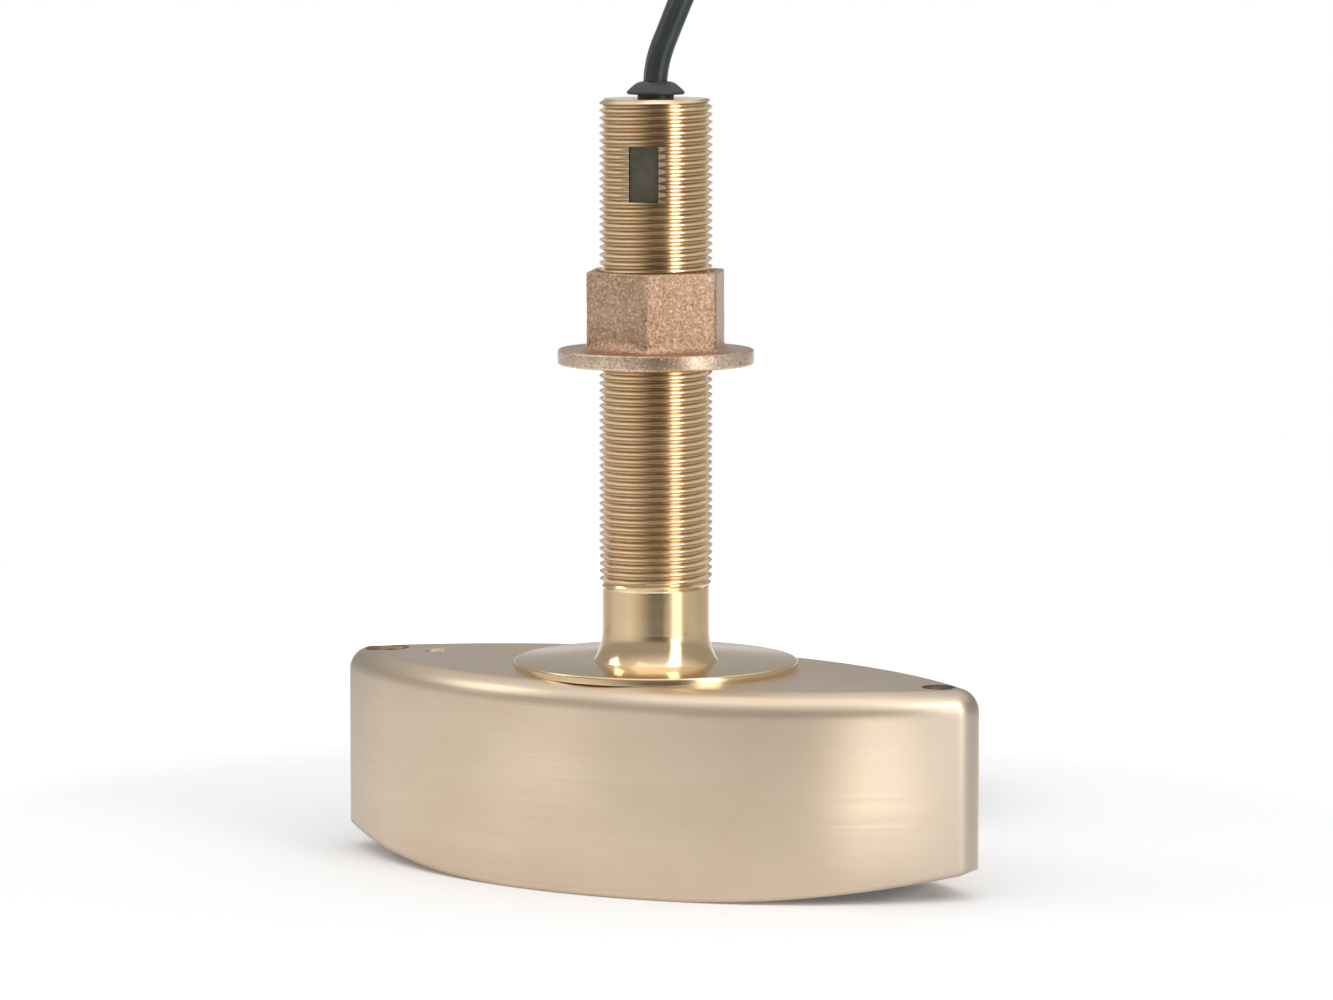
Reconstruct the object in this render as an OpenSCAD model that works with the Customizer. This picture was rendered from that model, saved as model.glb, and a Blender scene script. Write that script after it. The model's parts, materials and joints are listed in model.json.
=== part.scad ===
// Through-hull sonar transducer: a cast bronze housing with a turned, threaded stem, a flanged hull nut,
// the piezo discs behind their acoustic window, and the cable with its plug. Millimetres, +Z up, origin on
// the stem's axis where the flat of the underside rests.

/* [Housing] */
// Length of the housing
housing_length = 198; // [186:1:220]
// Width of the housing
housing_width = 88; // [86:1:100]
// Height of the housing from its flat underside to its top
housing_height = 58; // [56:1:70]
// Radius of the two tips in plan
tip_radius = 8; // [7:0.5:12]
// Radius of the rounded top edge
top_edge_radius = 6.5; // [2:0.5:6.5]
// Thickness of the side wall
housing_wall = 5; // [3:0.5:5]
// Thickness of the roof
roof_thickness = 8; // [6:0.5:8]
// Depth of the boss under the roof, which takes the stem's spigot
boss_drop = 8; // [5:0.5:8]
// Wall of that boss round the spigot
boss_wall = 6; // [4:0.5:10]
// Solid length at each tip, which takes the tapped hole
tip_block = 20; // [18:0.5:24]
// Rise of the underside at the tips
underside_rise = 7.5; // [2:0.5:10]
// Half length of the flat middle of the underside
flat_half = 25; // [15:1:40]
// Radius at the foot of each tip
foot_radius = 4; // [2:0.5:6]

/* [Holes in the top] */
// Distance of each tapped hole from its tip
tip_hole_inset = 11.5; // [11:0.5:13]
// Diameters of the tapped holes inside their thread, at the left and the right tip
tip_hole_left_d = 10.2; // [8:0.1:10.2]
tip_hole_right_d = 7; // [6:0.1:8.5]
// Bevel at the mouth of the tapped holes
tip_hole_bevel = 1.2; // [0.4:0.1:1.5]
// Depth of the tapped holes
tip_hole_depth = 18; // [12:1:24]
// Distance of the filler hole from the tapped hole beside it
filler_pitch = 16; // [14:0.5:20]
// Diameter of the filler hole
filler_d = 6.6; // [5:0.1:8]
// Depth of the filler plug's head below the top
filler_sink = 1.4; // [0.5:0.1:2]
// Hexagon socket in the filler plug, across corners
filler_socket_d = 3.5; // [2:0.1:4]

/* [Stem] */
// Outside diameter of the stem's thread
stem_d = 31.75; // [30:0.25:36]
// Diameter of the smooth shank below the thread
shank_d = 30.2; // [28:0.1:30.4]
// Height of the stem above the face of its flange
stem_rise = 157.6; // [140:0.1:200]
// Height of the smooth shank above the flange
shank_rise = 20.4; // [12:0.1:30]
// Diameter of the flange disc at the stem's foot
flange_d = 80; // [60:1:80]
// Thickness of the flange disc
flange_t = 2.2; // [1.5:0.1:4]
// Height of the flare where the shank meets the flange
flare_rise = 8.5; // [4:0.5:12]
// How far the flare reaches out
flare_reach = 2.4; // [1:0.1:4]
// Diameter of the spigot that fits the housing's roof
spigot_d = 38; // [30:1:42]
// Diameter of the stem's bore
stem_bore_d = 20; // [14:0.5:22]
// Thickness of the wall that closes the bore at the top
stem_cap = 7; // [4:0.5:12]
// Chamfer at the top of the thread
stem_chamfer = 1; // [0.5:0.1:1.5]
// Width of the pocket through the thread
pocket_w = 8.4; // [6:0.1:12]
// Height of the pocket
pocket_h = 15.3; // [8:0.1:24]
// Distance of the pocket from the stem's top
pocket_drop = 13; // [10:0.5:30]
// Direction that the pocket faces, in degrees from -Y towards +X
pocket_turn = 14; // [-180:1:180]
// Depth of the compound's face in the pocket below the thread's crests
pocket_fill_drop = 2.6; // [1.5:0.1:5]
// Section diameter of the seal ring on the spigot
seal_d = 2.6; // [1.8:0.1:3.2]

/* [Hull nut] */
// Width of the hexagon across its flats
nut_flats = 36.5; // [36:0.5:46]
// Overall height of the nut
nut_height = 26.2; // [18:0.2:34]
// Diameter of the nut's flange
nut_flange_d = 55; // [50:1:64]
// Thickness of the nut's flange
nut_flange_t = 4.2; // [3:0.1:6]
// Radius of the blend between hexagon and flange
nut_blend = 4; // [1:0.5:4]
// Height of the nut's underside above the stem's flange
nut_lift = 83.4; // [24:0.1:110]
// Turn of the hexagon about the stem
nut_turn = -9.4; // [-30:0.1:30]
// Radial clearance between nut and thread
nut_clearance = 0.08; // [0.02:0.01:0.1]

/* [Transducer elements] */
// Thickness of the acoustic window at its flat middle
window_t = 8; // [6:0.5:10]
// Distance of each group of ceramics from the stem's axis
group_offset = 36; // [34:0.5:37]
// Diameter of the low frequency ceramic
low_d = 57.8; // [40:0.2:58]
// Height of the low frequency ceramic
low_h = 28; // [20:1:28]
// Wall of the cork sleeve round it
sleeve_wall = 2.5; // [1.5:0.1:2.6]
// Diameter of each high frequency ceramic
high_d = 17.5; // [10:0.5:18]
// Height of the high frequency ceramics
high_h = 8; // [4:0.5:10]
// Pitch of the high frequency ceramics
high_pitch = 20.5; // [19:0.5:21]
// Thickness of the cork backing on both groups
backing_t = 3; // [2:0.5:3]
// Length of the tuning board
board_l = 40; // [30:1:44]
// Width of the tuning board
board_w = 26; // [24:1:30]
// Thickness of the tuning board
board_t = 1.6; // [1:0.1:2]
// Diameter of the temperature sensor
sensor_d = 5; // [3:0.5:6]
// Height of the temperature sensor's top
sensor_top = 20; // [14:1:30]
// Diameter of the signal wires
wire_d = 1.6; // [1:0.1:1.6]

/* [Cable] */
// Diameter of the cable
cable_d = 6.4; // [5:0.1:7]
// Diameter of the grommet's neck
grommet_neck_d = 10.2; // [9:0.1:11]
// Diameter of the grommet's cap
grommet_cap_d = 16.2; // [14:0.2:19]
// Height of the grommet's cap
grommet_cap_h = 3.6; // [3:0.1:5]
// Length of neck that shows under the cap
grommet_gap = 1.1; // [0.5:0.1:2]
// Diameter of the plug's moulded body
plug_d = 16; // [14:0.5:18]

/* [Hidden] */
$fn = 128;

// Clearance of bonded and potted pieces, and of the spigot in the roof
bond_gap = 0.1;
spigot_gap = 0.05;
// A cut runs this far past the solid that it cuts
cut_over = 1;

// Plan of the housing: two side arcs and round tips, which stand proud by a hair so that they fuse
tip_seam = 0.05;
tip_x = housing_length / 2 - tip_radius;
tip_y = housing_width / 2 - tip_radius + tip_seam;
core_r = (tip_x * tip_x + tip_y * tip_y) / (2 * tip_y);
side_r = core_r + tip_radius - tip_seam;
side_shift = core_r - tip_y;
tip_angle = asin(tip_x / core_r);
underside_run = housing_length / 2 - flat_half;
underside_r = (underside_run * underside_run + underside_rise * underside_rise) / (2 * underside_rise);

// Foot round: it stands a little proud of the tip and of the underside, so that it crosses both
foot_proud = 0.4;
foot_dip = 0.05;
foot_x = housing_length / 2 + foot_proud - foot_radius;
foot_run = foot_x - flat_half;
foot_reach = underside_r - foot_radius + foot_dip;
foot_z = underside_r - sqrt(foot_reach * foot_reach - foot_run * foot_run);
foot_start_x = foot_x + foot_radius * foot_run / foot_reach;

// Levels, from the floor up
roof_z = housing_height - roof_thickness;
boss_z = roof_z - boss_drop;
flange_z = housing_height + flange_t;
thread_z = flange_z + shank_rise;
stem_z = flange_z + stem_rise;
low_z = window_t + low_h;
low_top_z = low_z + backing_t;
high_z = window_t + high_h;
high_top_z = high_z + backing_t;
board_z = high_top_z + bond_gap;
core_z = board_z + board_t + bond_gap;

// Places along the housing
block_x = housing_length / 2 - tip_block;
tip_hole_x = housing_length / 2 - tip_hole_inset;
filler_x = tip_hole_x - filler_pitch;

// Stem
stem_r = stem_d / 2;
shank_r = shank_d / 2;
spigot_r = spigot_d / 2;
flare_r = (flare_rise * flare_rise + flare_reach * flare_reach) / (2 * flare_reach);
flange_edge = 0.6;
seal_room = 0.6;
seal_drop = 5;
seal_groove_w = seal_d + seal_room;
seal_groove_z = housing_height - seal_drop;
seal_floor_r = spigot_r - 0.8 * seal_d;
pocket_floor_r = 0.4 * stem_bore_d;
pocket_z = stem_z - pocket_drop - pocket_h;
nut_z = flange_z + nut_lift;
nut_corner_r = nut_flats / sqrt(3);
nut_corner_round = 0.4;
nut_blend_sink = 0.2;
nut_blend_r = nut_flats / 2 - nut_blend_sink + nut_blend;
nut_rim = 0.6;
nut_bore_r = stem_r + nut_clearance;
nut_bevel = 1;
nut_mouth_r = nut_bore_r + nut_bevel + cut_over;

// Ceramics
group_r = low_d / 2 + bond_gap + sleeve_wall;
high_count = 7;
high_step = 360 / (high_count - 1);
high_ring = [for (i = [0 : high_count - 2]) high_pitch * [cos(high_step * i), sin(high_step * i)]];
high_places = concat([[0, 0]], high_ring);
core_l = 24;
core_w = 16;
core_h = 18;
core_leg = 4;
core_yoke = 4;
core_window_x = core_l / 2 - core_leg;
winding_over = 3;
winding_w = core_w + 2 * winding_over;
sensor_y = -26;
wire_rise = 1.6;
wire_drop = 6;
wire_level = low_top_z + wire_rise;
wire_reach = 1.8;
wire_top = thread_z - wire_drop;

// Cable: where it enters, and the grommet that holds it
cable_r = cable_d / 2;
cable_sides = 10;
grommet_z = stem_z + grommet_gap;
lead_z = grommet_z + grommet_cap_h;
grommet_neck_r = grommet_neck_d / 2;
grommet_cap_r = grommet_cap_d / 2;
grommet_brim = 1;
grommet_crown_r = 0.72 * grommet_cap_r;
grommet_dome_z = (grommet_crown_r * grommet_crown_r + grommet_cap_h * grommet_cap_h
                  - grommet_cap_r * grommet_cap_r - grommet_brim * grommet_brim)
                 / (2 * (grommet_cap_h - grommet_brim));
grommet_dome_r = norm([grommet_cap_r, grommet_brim - grommet_dome_z]);
grommet_lip = 1.6;
grommet_lip_r = grommet_neck_r + grommet_lip;
grommet_lip_h = 2.4;
grommet_lip_bevel = 0.7;
cable_fit = 0.05;

// Free cable, in a frame of its own that is turned about the stem: side, back, up
lead_turn = 28;
lead_route = [[0, 0, lead_z], [0.6, 0, 227], [1.8, 0, 231.5], [3.9, 0, 237], [7.6, 0, 246],
              [11, 2, 254], [17, 8, 268], [22, 21, 280], [24, 40, 285], [22, 60, 280], [17, 74, 268],
              [11.5, 80, 254], [8, 81, 245], [4.1, 81, 235], [1.9, 81, 229.5], [0.6, 81, 224.5],
              [0, 81, 218], [-0.5, 81, 200], [-0.5, 81, 180], [-0.5, 81, 160], [-0.5, 81, 140],
              [-0.5, 81, 120], [0, 81, 100], [0.3, 81, 82], [1, 80.7, 66], [4.9, 79.6, 52],
              [12.4, 78.6, 41.5], [21.9, 79.2, 34.3], [32.3, 82.7, 31.4], [42.2, 89.4, 30.9],
              [49.2, 97.9, 30.9], [53.4, 107.3, 30.9], [54.8, 115.8, 30.5], [53.9, 123.8, 29.2],
              [52, 131.4, 27], [49.4, 138.1, 25], [46.3, 143.9, 24.15]];

// Coil: rows of turns, each row a flat spiral, with the lead on the top row's inner turn
coil_side = 15;
coil_back = 122.8;
coil_rows = 4;
coil_columns = 6;
coil_pitch = cable_d + 0.1;
coil_inner_r = 37.75;
coil_start = 34;
coil_drop = 60;
coil_w = coil_columns * coil_pitch;
coil_h = coil_rows * coil_pitch;
coil_mean_r = coil_inner_r + (coil_columns - 1) / 2 * coil_pitch;
coil_round = cable_r;
tie_t = 1.2;
tie_w = 12;
tie_gap = 0.6;
tie_slack = 0.2;
coil_z = tie_t + tie_slack;
tie_angles = [110, 185];

// The cable's end: an arc out of the bottom row's inner turn, and the plug that lies in the coil's eye
tail_r = 23;
tail_start = coil_start + (coil_rows - 1) * coil_drop;
tail_sweep = 150;
tail_end = tail_start + tail_sweep;
tail_centre = (coil_inner_r - tail_r) * [cos(tail_start), sin(tail_start)];
tail_steps = 10;
tail_z = coil_z + coil_pitch / 2;
plug_relief_l = 9;
plug_body_l = 12;
plug_shell_l = 12;
plug_shell_step = 0.5;
plug_shell_wall = 1.2;
plug_shell_r = plug_d / 2 - plug_shell_step;
plug_insert_l = 7;
plug_pin_d = 1.5;
plug_pin_l = 4;
plug_pin_circle_r = 3.6;
plug_pin_count = 6;
plug_z = plug_d / 2;
tail_route = [for (i = [0 : tail_steps])
              let (share = i / tail_steps, turn = tail_start + tail_sweep * share)
              [tail_centre[0] + tail_r * cos(turn), tail_centre[1] + tail_r * sin(turn),
               tail_z + (plug_z - tail_z) * share]];

bronze = [0.80, 0.72, 0.62];
turned_bronze = [0.80, 0.66, 0.42];
cast_bronze = [0.70, 0.54, 0.42];
rubber_grey = [0.16, 0.17, 0.18];
cable_black = [0.10, 0.11, 0.11];
potting_olive = [0.30, 0.30, 0.23];
ceramic_cream = [0.86, 0.82, 0.70];
cork_brown = [0.62, 0.46, 0.30];
window_blue = [0.12, 0.14, 0.17];

// A tube swept along a list of points, with a frame carried from point to point
function unit(v) = v / norm(v);
function heading(points, i) =
    unit(points[min(i + 1, len(points) - 1)] - points[max(i - 1, 0)]);
function carried(headings, side, i = 0) =
    i == len(headings) ? [] :
    let (here = unit(side - (side * headings[i]) * headings[i]))
    concat([here], carried(headings, here, i + 1));

module tube(points, radius, sides, side) {
    headings = [for (i = [0 : len(points) - 1]) heading(points, i)];
    sidesteps = carried(headings, side);
    corners = [for (i = [0 : len(points) - 1], k = [0 : sides - 1])
               points[i] + radius * (cos(360 * k / sides) * sidesteps[i]
               + sin(360 * k / sides) * cross(headings[i], sidesteps[i]))];
    last = (len(points) - 1) * sides;
    walls = [for (i = [0 : len(points) - 2], k = [0 : sides - 1], half = [0, 1])
             let (a = i * sides + k, b = i * sides + (k + 1) % sides)
             half == 0 ? [a, a + sides, b + sides] : [a, b + sides, b]];
    start_cap = [for (k = [0 : sides - 1]) k];
    end_cap = [for (k = [sides - 1 : -1 : 0]) last + k];
    polyhedron(corners, concat(walls, [start_cap, end_cap]));
}

// Half section of the housing from an axis out to radius r, with the rounded top edge
module edge_profile(r) {
    difference() {
        square([r, housing_height]);
        translate([r - top_edge_radius, housing_height - top_edge_radius])
            difference() {
                square(top_edge_radius + cut_over);
                circle(top_edge_radius);
            }
    }
}

// The part of the plan between the tips, bounded by the lines from each tip's centre to its blends
module between_tips() {
    reach = housing_width;
    corner_x = tip_x + reach * sin(tip_angle);
    corner_y = reach * cos(tip_angle);
    polygon([[tip_x, 0], [corner_x, corner_y], [0, housing_width], [-corner_x, corner_y],
             [-tip_x, 0], [-corner_x, -corner_y], [0, -housing_width], [corner_x, -corner_y]]);
}

module housing_blank() {
    intersection() {
        translate([0, side_shift, 0])
            rotate_extrude()
                edge_profile(side_r);
        translate([0, -side_shift, 0])
            rotate_extrude()
                edge_profile(side_r);
        linear_extrude(housing_height)
            between_tips();
    }
    for (s = [-1, 1])
        translate([s * tip_x, 0, 0])
            rotate_extrude()
                edge_profile(tip_radius);
}

// Plan of the cavity: the side arcs set in by the wall, closed by the solid blocks at the tips
module cavity_plan(gap) {
    intersection() {
        translate([0, side_shift])
            circle(side_r - housing_wall - gap);
        translate([0, -side_shift])
            circle(side_r - housing_wall - gap);
        square([2 * (block_x - gap), housing_width], center = true);
    }
}

// What the swept-up ends take off the underside
module underside_cut() {
    for (s = [0, 180])
        rotate(s)
            difference() {
                translate([flat_half, -housing_width, -cut_over])
                    cube([underside_run + cut_over, 2 * housing_width, underside_rise + 2 * cut_over]);
                translate([flat_half, 0, underside_r])
                    rotate([90, 0, 0])
                        cylinder(r = underside_r, h = 3 * housing_width, center = true, $fn = 360);
            }
}

// What the rounded feet of the tips take off
module foot_cut() {
    for (s = [0, 180])
        rotate(s)
            difference() {
                translate([foot_start_x, -housing_width, 0])
                    cube([2 * foot_radius, 2 * housing_width, foot_z]);
                translate([foot_x, 0, foot_z])
                    rotate([90, 0, 0])
                        cylinder(r = foot_radius, h = 3 * housing_width, center = true);
            }
}

module tip_hole(d) {
    translate([0, 0, housing_height - tip_hole_depth])
        cylinder(d = d, h = tip_hole_depth + cut_over);
    translate([0, 0, housing_height - tip_hole_bevel])
        cylinder(d1 = d, d2 = d + 2 * (tip_hole_bevel + cut_over), h = tip_hole_bevel + cut_over);
}

module housing() {
    color(bronze)
        difference() {
            housing_blank();
            difference() {
                translate([0, 0, -cut_over])
                    linear_extrude(roof_z + cut_over)
                        cavity_plan(0);
                translate([0, 0, boss_z])
                    cylinder(r = spigot_r + boss_wall, h = boss_drop + cut_over);
            }
            cylinder(r = spigot_r + spigot_gap, h = housing_height + cut_over);
            translate([-tip_hole_x, 0, 0])
                tip_hole(tip_hole_left_d);
            translate([tip_hole_x, 0, 0])
                tip_hole(tip_hole_right_d);
            translate([-filler_x, 0, roof_z - cut_over])
                cylinder(d = filler_d, h = roof_thickness + 2 * cut_over);
            underside_cut();
            foot_cut();
        }
}

// Half section of the stem: spigot, flange, flare, shank and thread
module stem_profile() {
    translate([0, boss_z])
        square([spigot_r, housing_height - boss_z]);
    polygon([[0, housing_height], [flange_d / 2, housing_height], [flange_d / 2, flange_z - flange_edge],
             [flange_d / 2 - flange_edge, flange_z], [0, flange_z]]);
    translate([0, flange_z])
        difference() {
            square([shank_r + flare_reach, flare_rise]);
            translate([shank_r + flare_r, flare_rise])
                circle(flare_r, $fn = 240);
        }
    translate([0, flange_z])
        square([shank_r, shank_rise]);
    polygon([[0, thread_z], [shank_r, thread_z], [stem_r, thread_z + stem_r - shank_r],
             [stem_r, stem_z - stem_chamfer], [stem_r - stem_chamfer, stem_z], [0, stem_z]]);
}

module stem() {
    color(turned_bronze)
        difference() {
            rotate_extrude()
                difference() {
                    stem_profile();
                    translate([seal_floor_r, seal_groove_z])
                        square([seal_d, seal_groove_w]);
                }
            translate([0, 0, boss_z - cut_over])
                cylinder(d = stem_bore_d, h = stem_z - stem_cap - boss_z + cut_over);
            cylinder(d = grommet_neck_d + 2 * bond_gap, h = stem_z + cut_over);
            rotate(pocket_turn)
                translate([-pocket_w / 2, -stem_d, pocket_z])
                    cube([pocket_w, stem_d - pocket_floor_r, pocket_h]);
        }
}

// Seal ring, squeezed between the spigot's groove and the roof
module stem_seal() {
    color(rubber_grey)
        rotate_extrude()
            translate([seal_floor_r + bond_gap / 2, seal_groove_z + (seal_groove_w - seal_d) / 2])
                square([spigot_r + spigot_gap - seal_floor_r - bond_gap, seal_d]);
}

module nut_flange_profile() {
    polygon([[0, 0], [nut_flange_d / 2 - nut_rim, 0], [nut_flange_d / 2, nut_rim],
             [nut_flange_d / 2, nut_flange_t - nut_rim], [nut_flange_d / 2 - nut_rim, nut_flange_t],
             [0, nut_flange_t]]);
    translate([0, nut_flange_t])
        difference() {
            square([nut_blend_r, nut_blend]);
            translate([nut_blend_r, nut_blend])
                circle(nut_blend);
        }
}

module hull_nut() {
    color(cast_bronze)
        translate([0, 0, nut_z])
            difference() {
                union() {
                    rotate_extrude()
                        nut_flange_profile();
                    intersection() {
                        rotate(nut_turn)
                            cylinder(r = nut_corner_r, h = nut_height, $fn = 6);
                        cylinder(r = nut_corner_r - nut_corner_round, h = nut_height);
                    }
                }
                translate([0, 0, -cut_over])
                    cylinder(r = nut_bore_r, h = nut_height + 2 * cut_over);
                translate([0, 0, -cut_over])
                    cylinder(r1 = nut_mouth_r, r2 = nut_bore_r, h = nut_bevel + cut_over);
                translate([0, 0, nut_height - nut_bevel])
                    cylinder(r1 = nut_bore_r, r2 = nut_mouth_r, h = nut_bevel + cut_over);
            }
}

module filler_plug() {
    socket_depth = 4;
    color(turned_bronze)
        translate([-filler_x, 0, roof_z])
            difference() {
                cylinder(d = filler_d - 2 * spigot_gap, h = roof_thickness - filler_sink);
                translate([0, 0, roof_thickness - filler_sink - socket_depth])
                    cylinder(d = filler_socket_d, h = socket_depth + cut_over, $fn = 6);
            }
}

module acoustic_window() {
    color(window_blue)
        difference() {
            linear_extrude(window_t)
                cavity_plan(bond_gap);
            underside_cut();
            translate([0, sensor_y, -cut_over])
                cylinder(d = sensor_d + 2 * bond_gap, h = window_t + 2 * cut_over);
        }
}

module low_group(gap) {
    translate([-group_offset, 0, window_t])
        cylinder(r = group_r + gap, h = low_h + backing_t + gap);
}

module low_frequency_ceramic() {
    color(ceramic_cream)
        translate([-group_offset, 0, window_t])
            cylinder(d = low_d, h = low_h);
}

module low_frequency_sleeve() {
    color(cork_brown)
        translate([-group_offset, 0, window_t])
            difference() {
                cylinder(r = group_r, h = low_h);
                translate([0, 0, -cut_over])
                    cylinder(r = group_r - sleeve_wall, h = low_h + 2 * cut_over);
            }
}

module low_frequency_backing() {
    color(cork_brown)
        translate([-group_offset, 0, low_z])
            cylinder(r = group_r, h = backing_t);
}

module high_group(gap) {
    translate([group_offset, 0, window_t])
        cylinder(r = group_r + gap, h = high_h + backing_t + gap);
}

module high_frequency_holder() {
    color(cork_brown)
        translate([group_offset, 0, window_t])
            difference() {
                cylinder(r = group_r, h = high_h);
                for (place = high_places)
                    translate([place[0], place[1], -cut_over])
                        cylinder(d = high_d + 2 * bond_gap, h = high_h + 2 * cut_over);
            }
}

module high_frequency_ceramic(i) {
    color(ceramic_cream)
        translate([group_offset + high_places[i][0], high_places[i][1], window_t])
            cylinder(d = high_d, h = high_h);
}

module high_frequency_backing() {
    color(cork_brown)
        translate([group_offset, 0, high_z])
            cylinder(r = group_r, h = backing_t);
}

module board_block(gap) {
    translate([group_offset - board_l / 2 - gap, -board_w / 2 - gap, board_z - gap])
        cube([board_l + 2 * gap, board_w + 2 * gap, board_t + 2 * gap]);
}

module tuning_board() {
    color("darkgreen")
        board_block(0);
}

module transformer_block(gap) {
    translate([group_offset - core_l / 2 - gap, -winding_w / 2 - gap, core_z - gap])
        cube([core_l + 2 * gap, winding_w + 2 * gap, core_h + 2 * gap]);
}

// Ferrite core: two outer legs, a middle leg and two yokes
module transformer_core() {
    color("dimgray")
        translate([group_offset, 0, core_z])
            difference() {
                translate([-core_l / 2, -core_w / 2, 0])
                    cube([core_l, core_w, core_h]);
                for (s = [0, 180])
                    rotate(s)
                        translate([core_leg, -core_w, core_yoke])
                            cube([core_window_x - core_leg, 2 * core_w, core_h - 2 * core_yoke]);
            }
}

module transformer_winding() {
    outer_x = core_window_x - bond_gap;
    inner_x = core_leg + bond_gap;
    inner_y = core_w / 2 + bond_gap;
    height = core_h - 2 * core_yoke - 2 * bond_gap;
    color("sienna")
        translate([group_offset, 0, core_z + core_yoke + bond_gap])
            difference() {
                translate([-outer_x, -winding_w / 2, 0])
                    cube([2 * outer_x, winding_w, height]);
                translate([-inner_x, -inner_y, -cut_over])
                    cube([2 * inner_x, 2 * inner_y, height + 2 * cut_over]);
            }
}

module temperature_sensor() {
    color("silver")
        translate([0, sensor_y, 0])
            cylinder(d = sensor_d, h = sensor_top);
}

// A wire up from its start, level to the middle, and up into the stem
module wire(start, middle, d) {
    along = [middle[0] - start[0], middle[1] - start[1], 0];
    translate(start)
        cylinder(d = d, h = wire_level - start[2]);
    translate([start[0], start[1], wire_level])
        sphere(d = d);
    translate([start[0], start[1], wire_level])
        rotate([0, 90, atan2(along[1], along[0])])
            cylinder(d = d, h = norm(along));
    translate([middle[0], middle[1], wire_level])
        sphere(d = d);
    translate([middle[0], middle[1], wire_level])
        cylinder(d = d, h = wire_top - wire_level);
}

module low_frequency_wire(d = wire_d) {
    color("firebrick")
        wire([-group_offset / 2, 0, low_top_z], [-wire_reach, 0], d);
}

module high_frequency_wire(d = wire_d) {
    color("white")
        wire([group_offset - core_leg, 0, core_z + core_h], [wire_reach, 0], d);
}

module sensor_wire(d = wire_d) {
    color("goldenrod")
        wire([0, sensor_y, sensor_top], [0, -wire_reach], d);
}

// Compound that fills the housing round everything in it
module housing_potting() {
    color(potting_olive)
        difference() {
            translate([0, 0, window_t + bond_gap])
                linear_extrude(roof_z - window_t - 2 * bond_gap)
                    cavity_plan(bond_gap);
            translate([0, 0, boss_z - bond_gap])
                cylinder(r = spigot_r + boss_wall + bond_gap, h = roof_z);
            low_group(bond_gap);
            high_group(bond_gap);
            board_block(bond_gap);
            transformer_block(bond_gap);
            translate([0, sensor_y, 0])
                cylinder(d = sensor_d + 2 * bond_gap, h = sensor_top + bond_gap);
            low_frequency_wire(wire_d + 2 * bond_gap);
            high_frequency_wire(wire_d + 2 * bond_gap);
            sensor_wire(wire_d + 2 * bond_gap);
        }
}

// Compound that fills the stem round the cable, seen through the pocket
module stem_potting() {
    top_z = stem_z - stem_cap - grommet_lip_h - 2 * bond_gap;
    fill_w = pocket_w - 2 * bond_gap;
    fill_l = stem_r - pocket_fill_drop - pocket_floor_r;
    color(potting_olive)
        translate([0, 0, boss_z])
            difference() {
                union() {
                    cylinder(d = stem_bore_d - 2 * bond_gap, h = top_z - boss_z);
                    rotate(pocket_turn)
                        translate([-fill_w / 2, pocket_fill_drop - stem_r, pocket_z + bond_gap - boss_z])
                            cube([fill_w, fill_l, pocket_h - 2 * bond_gap]);
                }
                translate([0, 0, -cut_over])
                    cylinder(r = cable_r + bond_gap, h = top_z - boss_z + 2 * cut_over);
            }
}

// The end of the cable, inside the stem and its grommet
module cable_root() {
    color(cable_black)
        translate([0, 0, wire_top])
            cylinder(r = cable_r, h = lead_z - wire_top);
}

// Half section of the grommet: inner lip, neck, domed cap and its drooping brim
module grommet_profile() {
    lip_z = stem_z - stem_cap - bond_gap;
    polygon([[0, lip_z - grommet_lip_h], [grommet_lip_r - grommet_lip_bevel, lip_z - grommet_lip_h],
             [grommet_lip_r, lip_z - grommet_lip_h + grommet_lip_bevel], [grommet_lip_r, lip_z], [0, lip_z]]);
    translate([0, lip_z - grommet_lip_h / 2])
        square([grommet_neck_r, grommet_z + grommet_brim - lip_z + grommet_lip_h / 2]);
    translate([0, grommet_z])
        intersection() {
            square([grommet_cap_r, grommet_cap_h]);
            translate([0, grommet_dome_z])
                circle(grommet_dome_r);
        }
    translate([grommet_cap_r, grommet_z])
        polygon([[-2 * grommet_brim, 0], [0, -grommet_brim / 3], [0, grommet_brim / 2],
                 [-2 * grommet_brim, grommet_brim / 2]]);
}

module cable_grommet() {
    color(rubber_grey)
        rotate_extrude()
            difference() {
                grommet_profile();
                translate([0, boss_z])
                    square([cable_r + cable_fit, stem_z]);
            }
}

module cable_lead() {
    color(cable_black)
        rotate(lead_turn)
            tube(lead_route, cable_r, cable_sides, [1, 0, 0]);
}

module at_coil() {
    rotate(lead_turn)
        translate([coil_side, coil_back, 0])
            children();
}

module coil_section() {
    square([coil_w, coil_h - 2 * coil_round], center = true);
    square([coil_w - 2 * coil_round, coil_h], center = true);
    for (x = [-1, 1], z = [-1, 1])
        translate([x * (coil_w / 2 - coil_round), z * (coil_h / 2 - coil_round)])
            circle(coil_round);
}

module cable_coil() {
    color(cable_black)
        at_coil()
            translate([0, 0, coil_z + coil_h / 2])
                rotate_extrude()
                    translate([coil_mean_r, 0])
                        coil_section();
}

module cable_tail() {
    color(cable_black)
        at_coil()
            tube(tail_route, cable_r, cable_sides, [1, 0, 0]);
}

// Strap round the coil's section
module coil_tie(i) {
    inner_w = coil_w + 2 * tie_gap;
    inner_h = coil_h + coil_z - tie_t + tie_gap;
    color("black")
        at_coil()
            rotate(tie_angles[i])
                translate([coil_mean_r, 0, 0])
                    difference() {
                        translate([-inner_w / 2 - tie_t, -tie_w / 2, 0])
                            cube([inner_w + 2 * tie_t, tie_w, inner_h + 2 * tie_t]);
                        translate([-inner_w / 2, -tie_w, tie_t])
                            cube([inner_w, 2 * tie_w, inner_h]);
                    }
}

// Pieces of the plug stand on +Z here, and are laid down where the tail ends, along its heading
module at_plug() {
    at_coil()
        translate(tail_route[tail_steps])
            rotate([0, 90, tail_end + 90])
                children();
}

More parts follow.
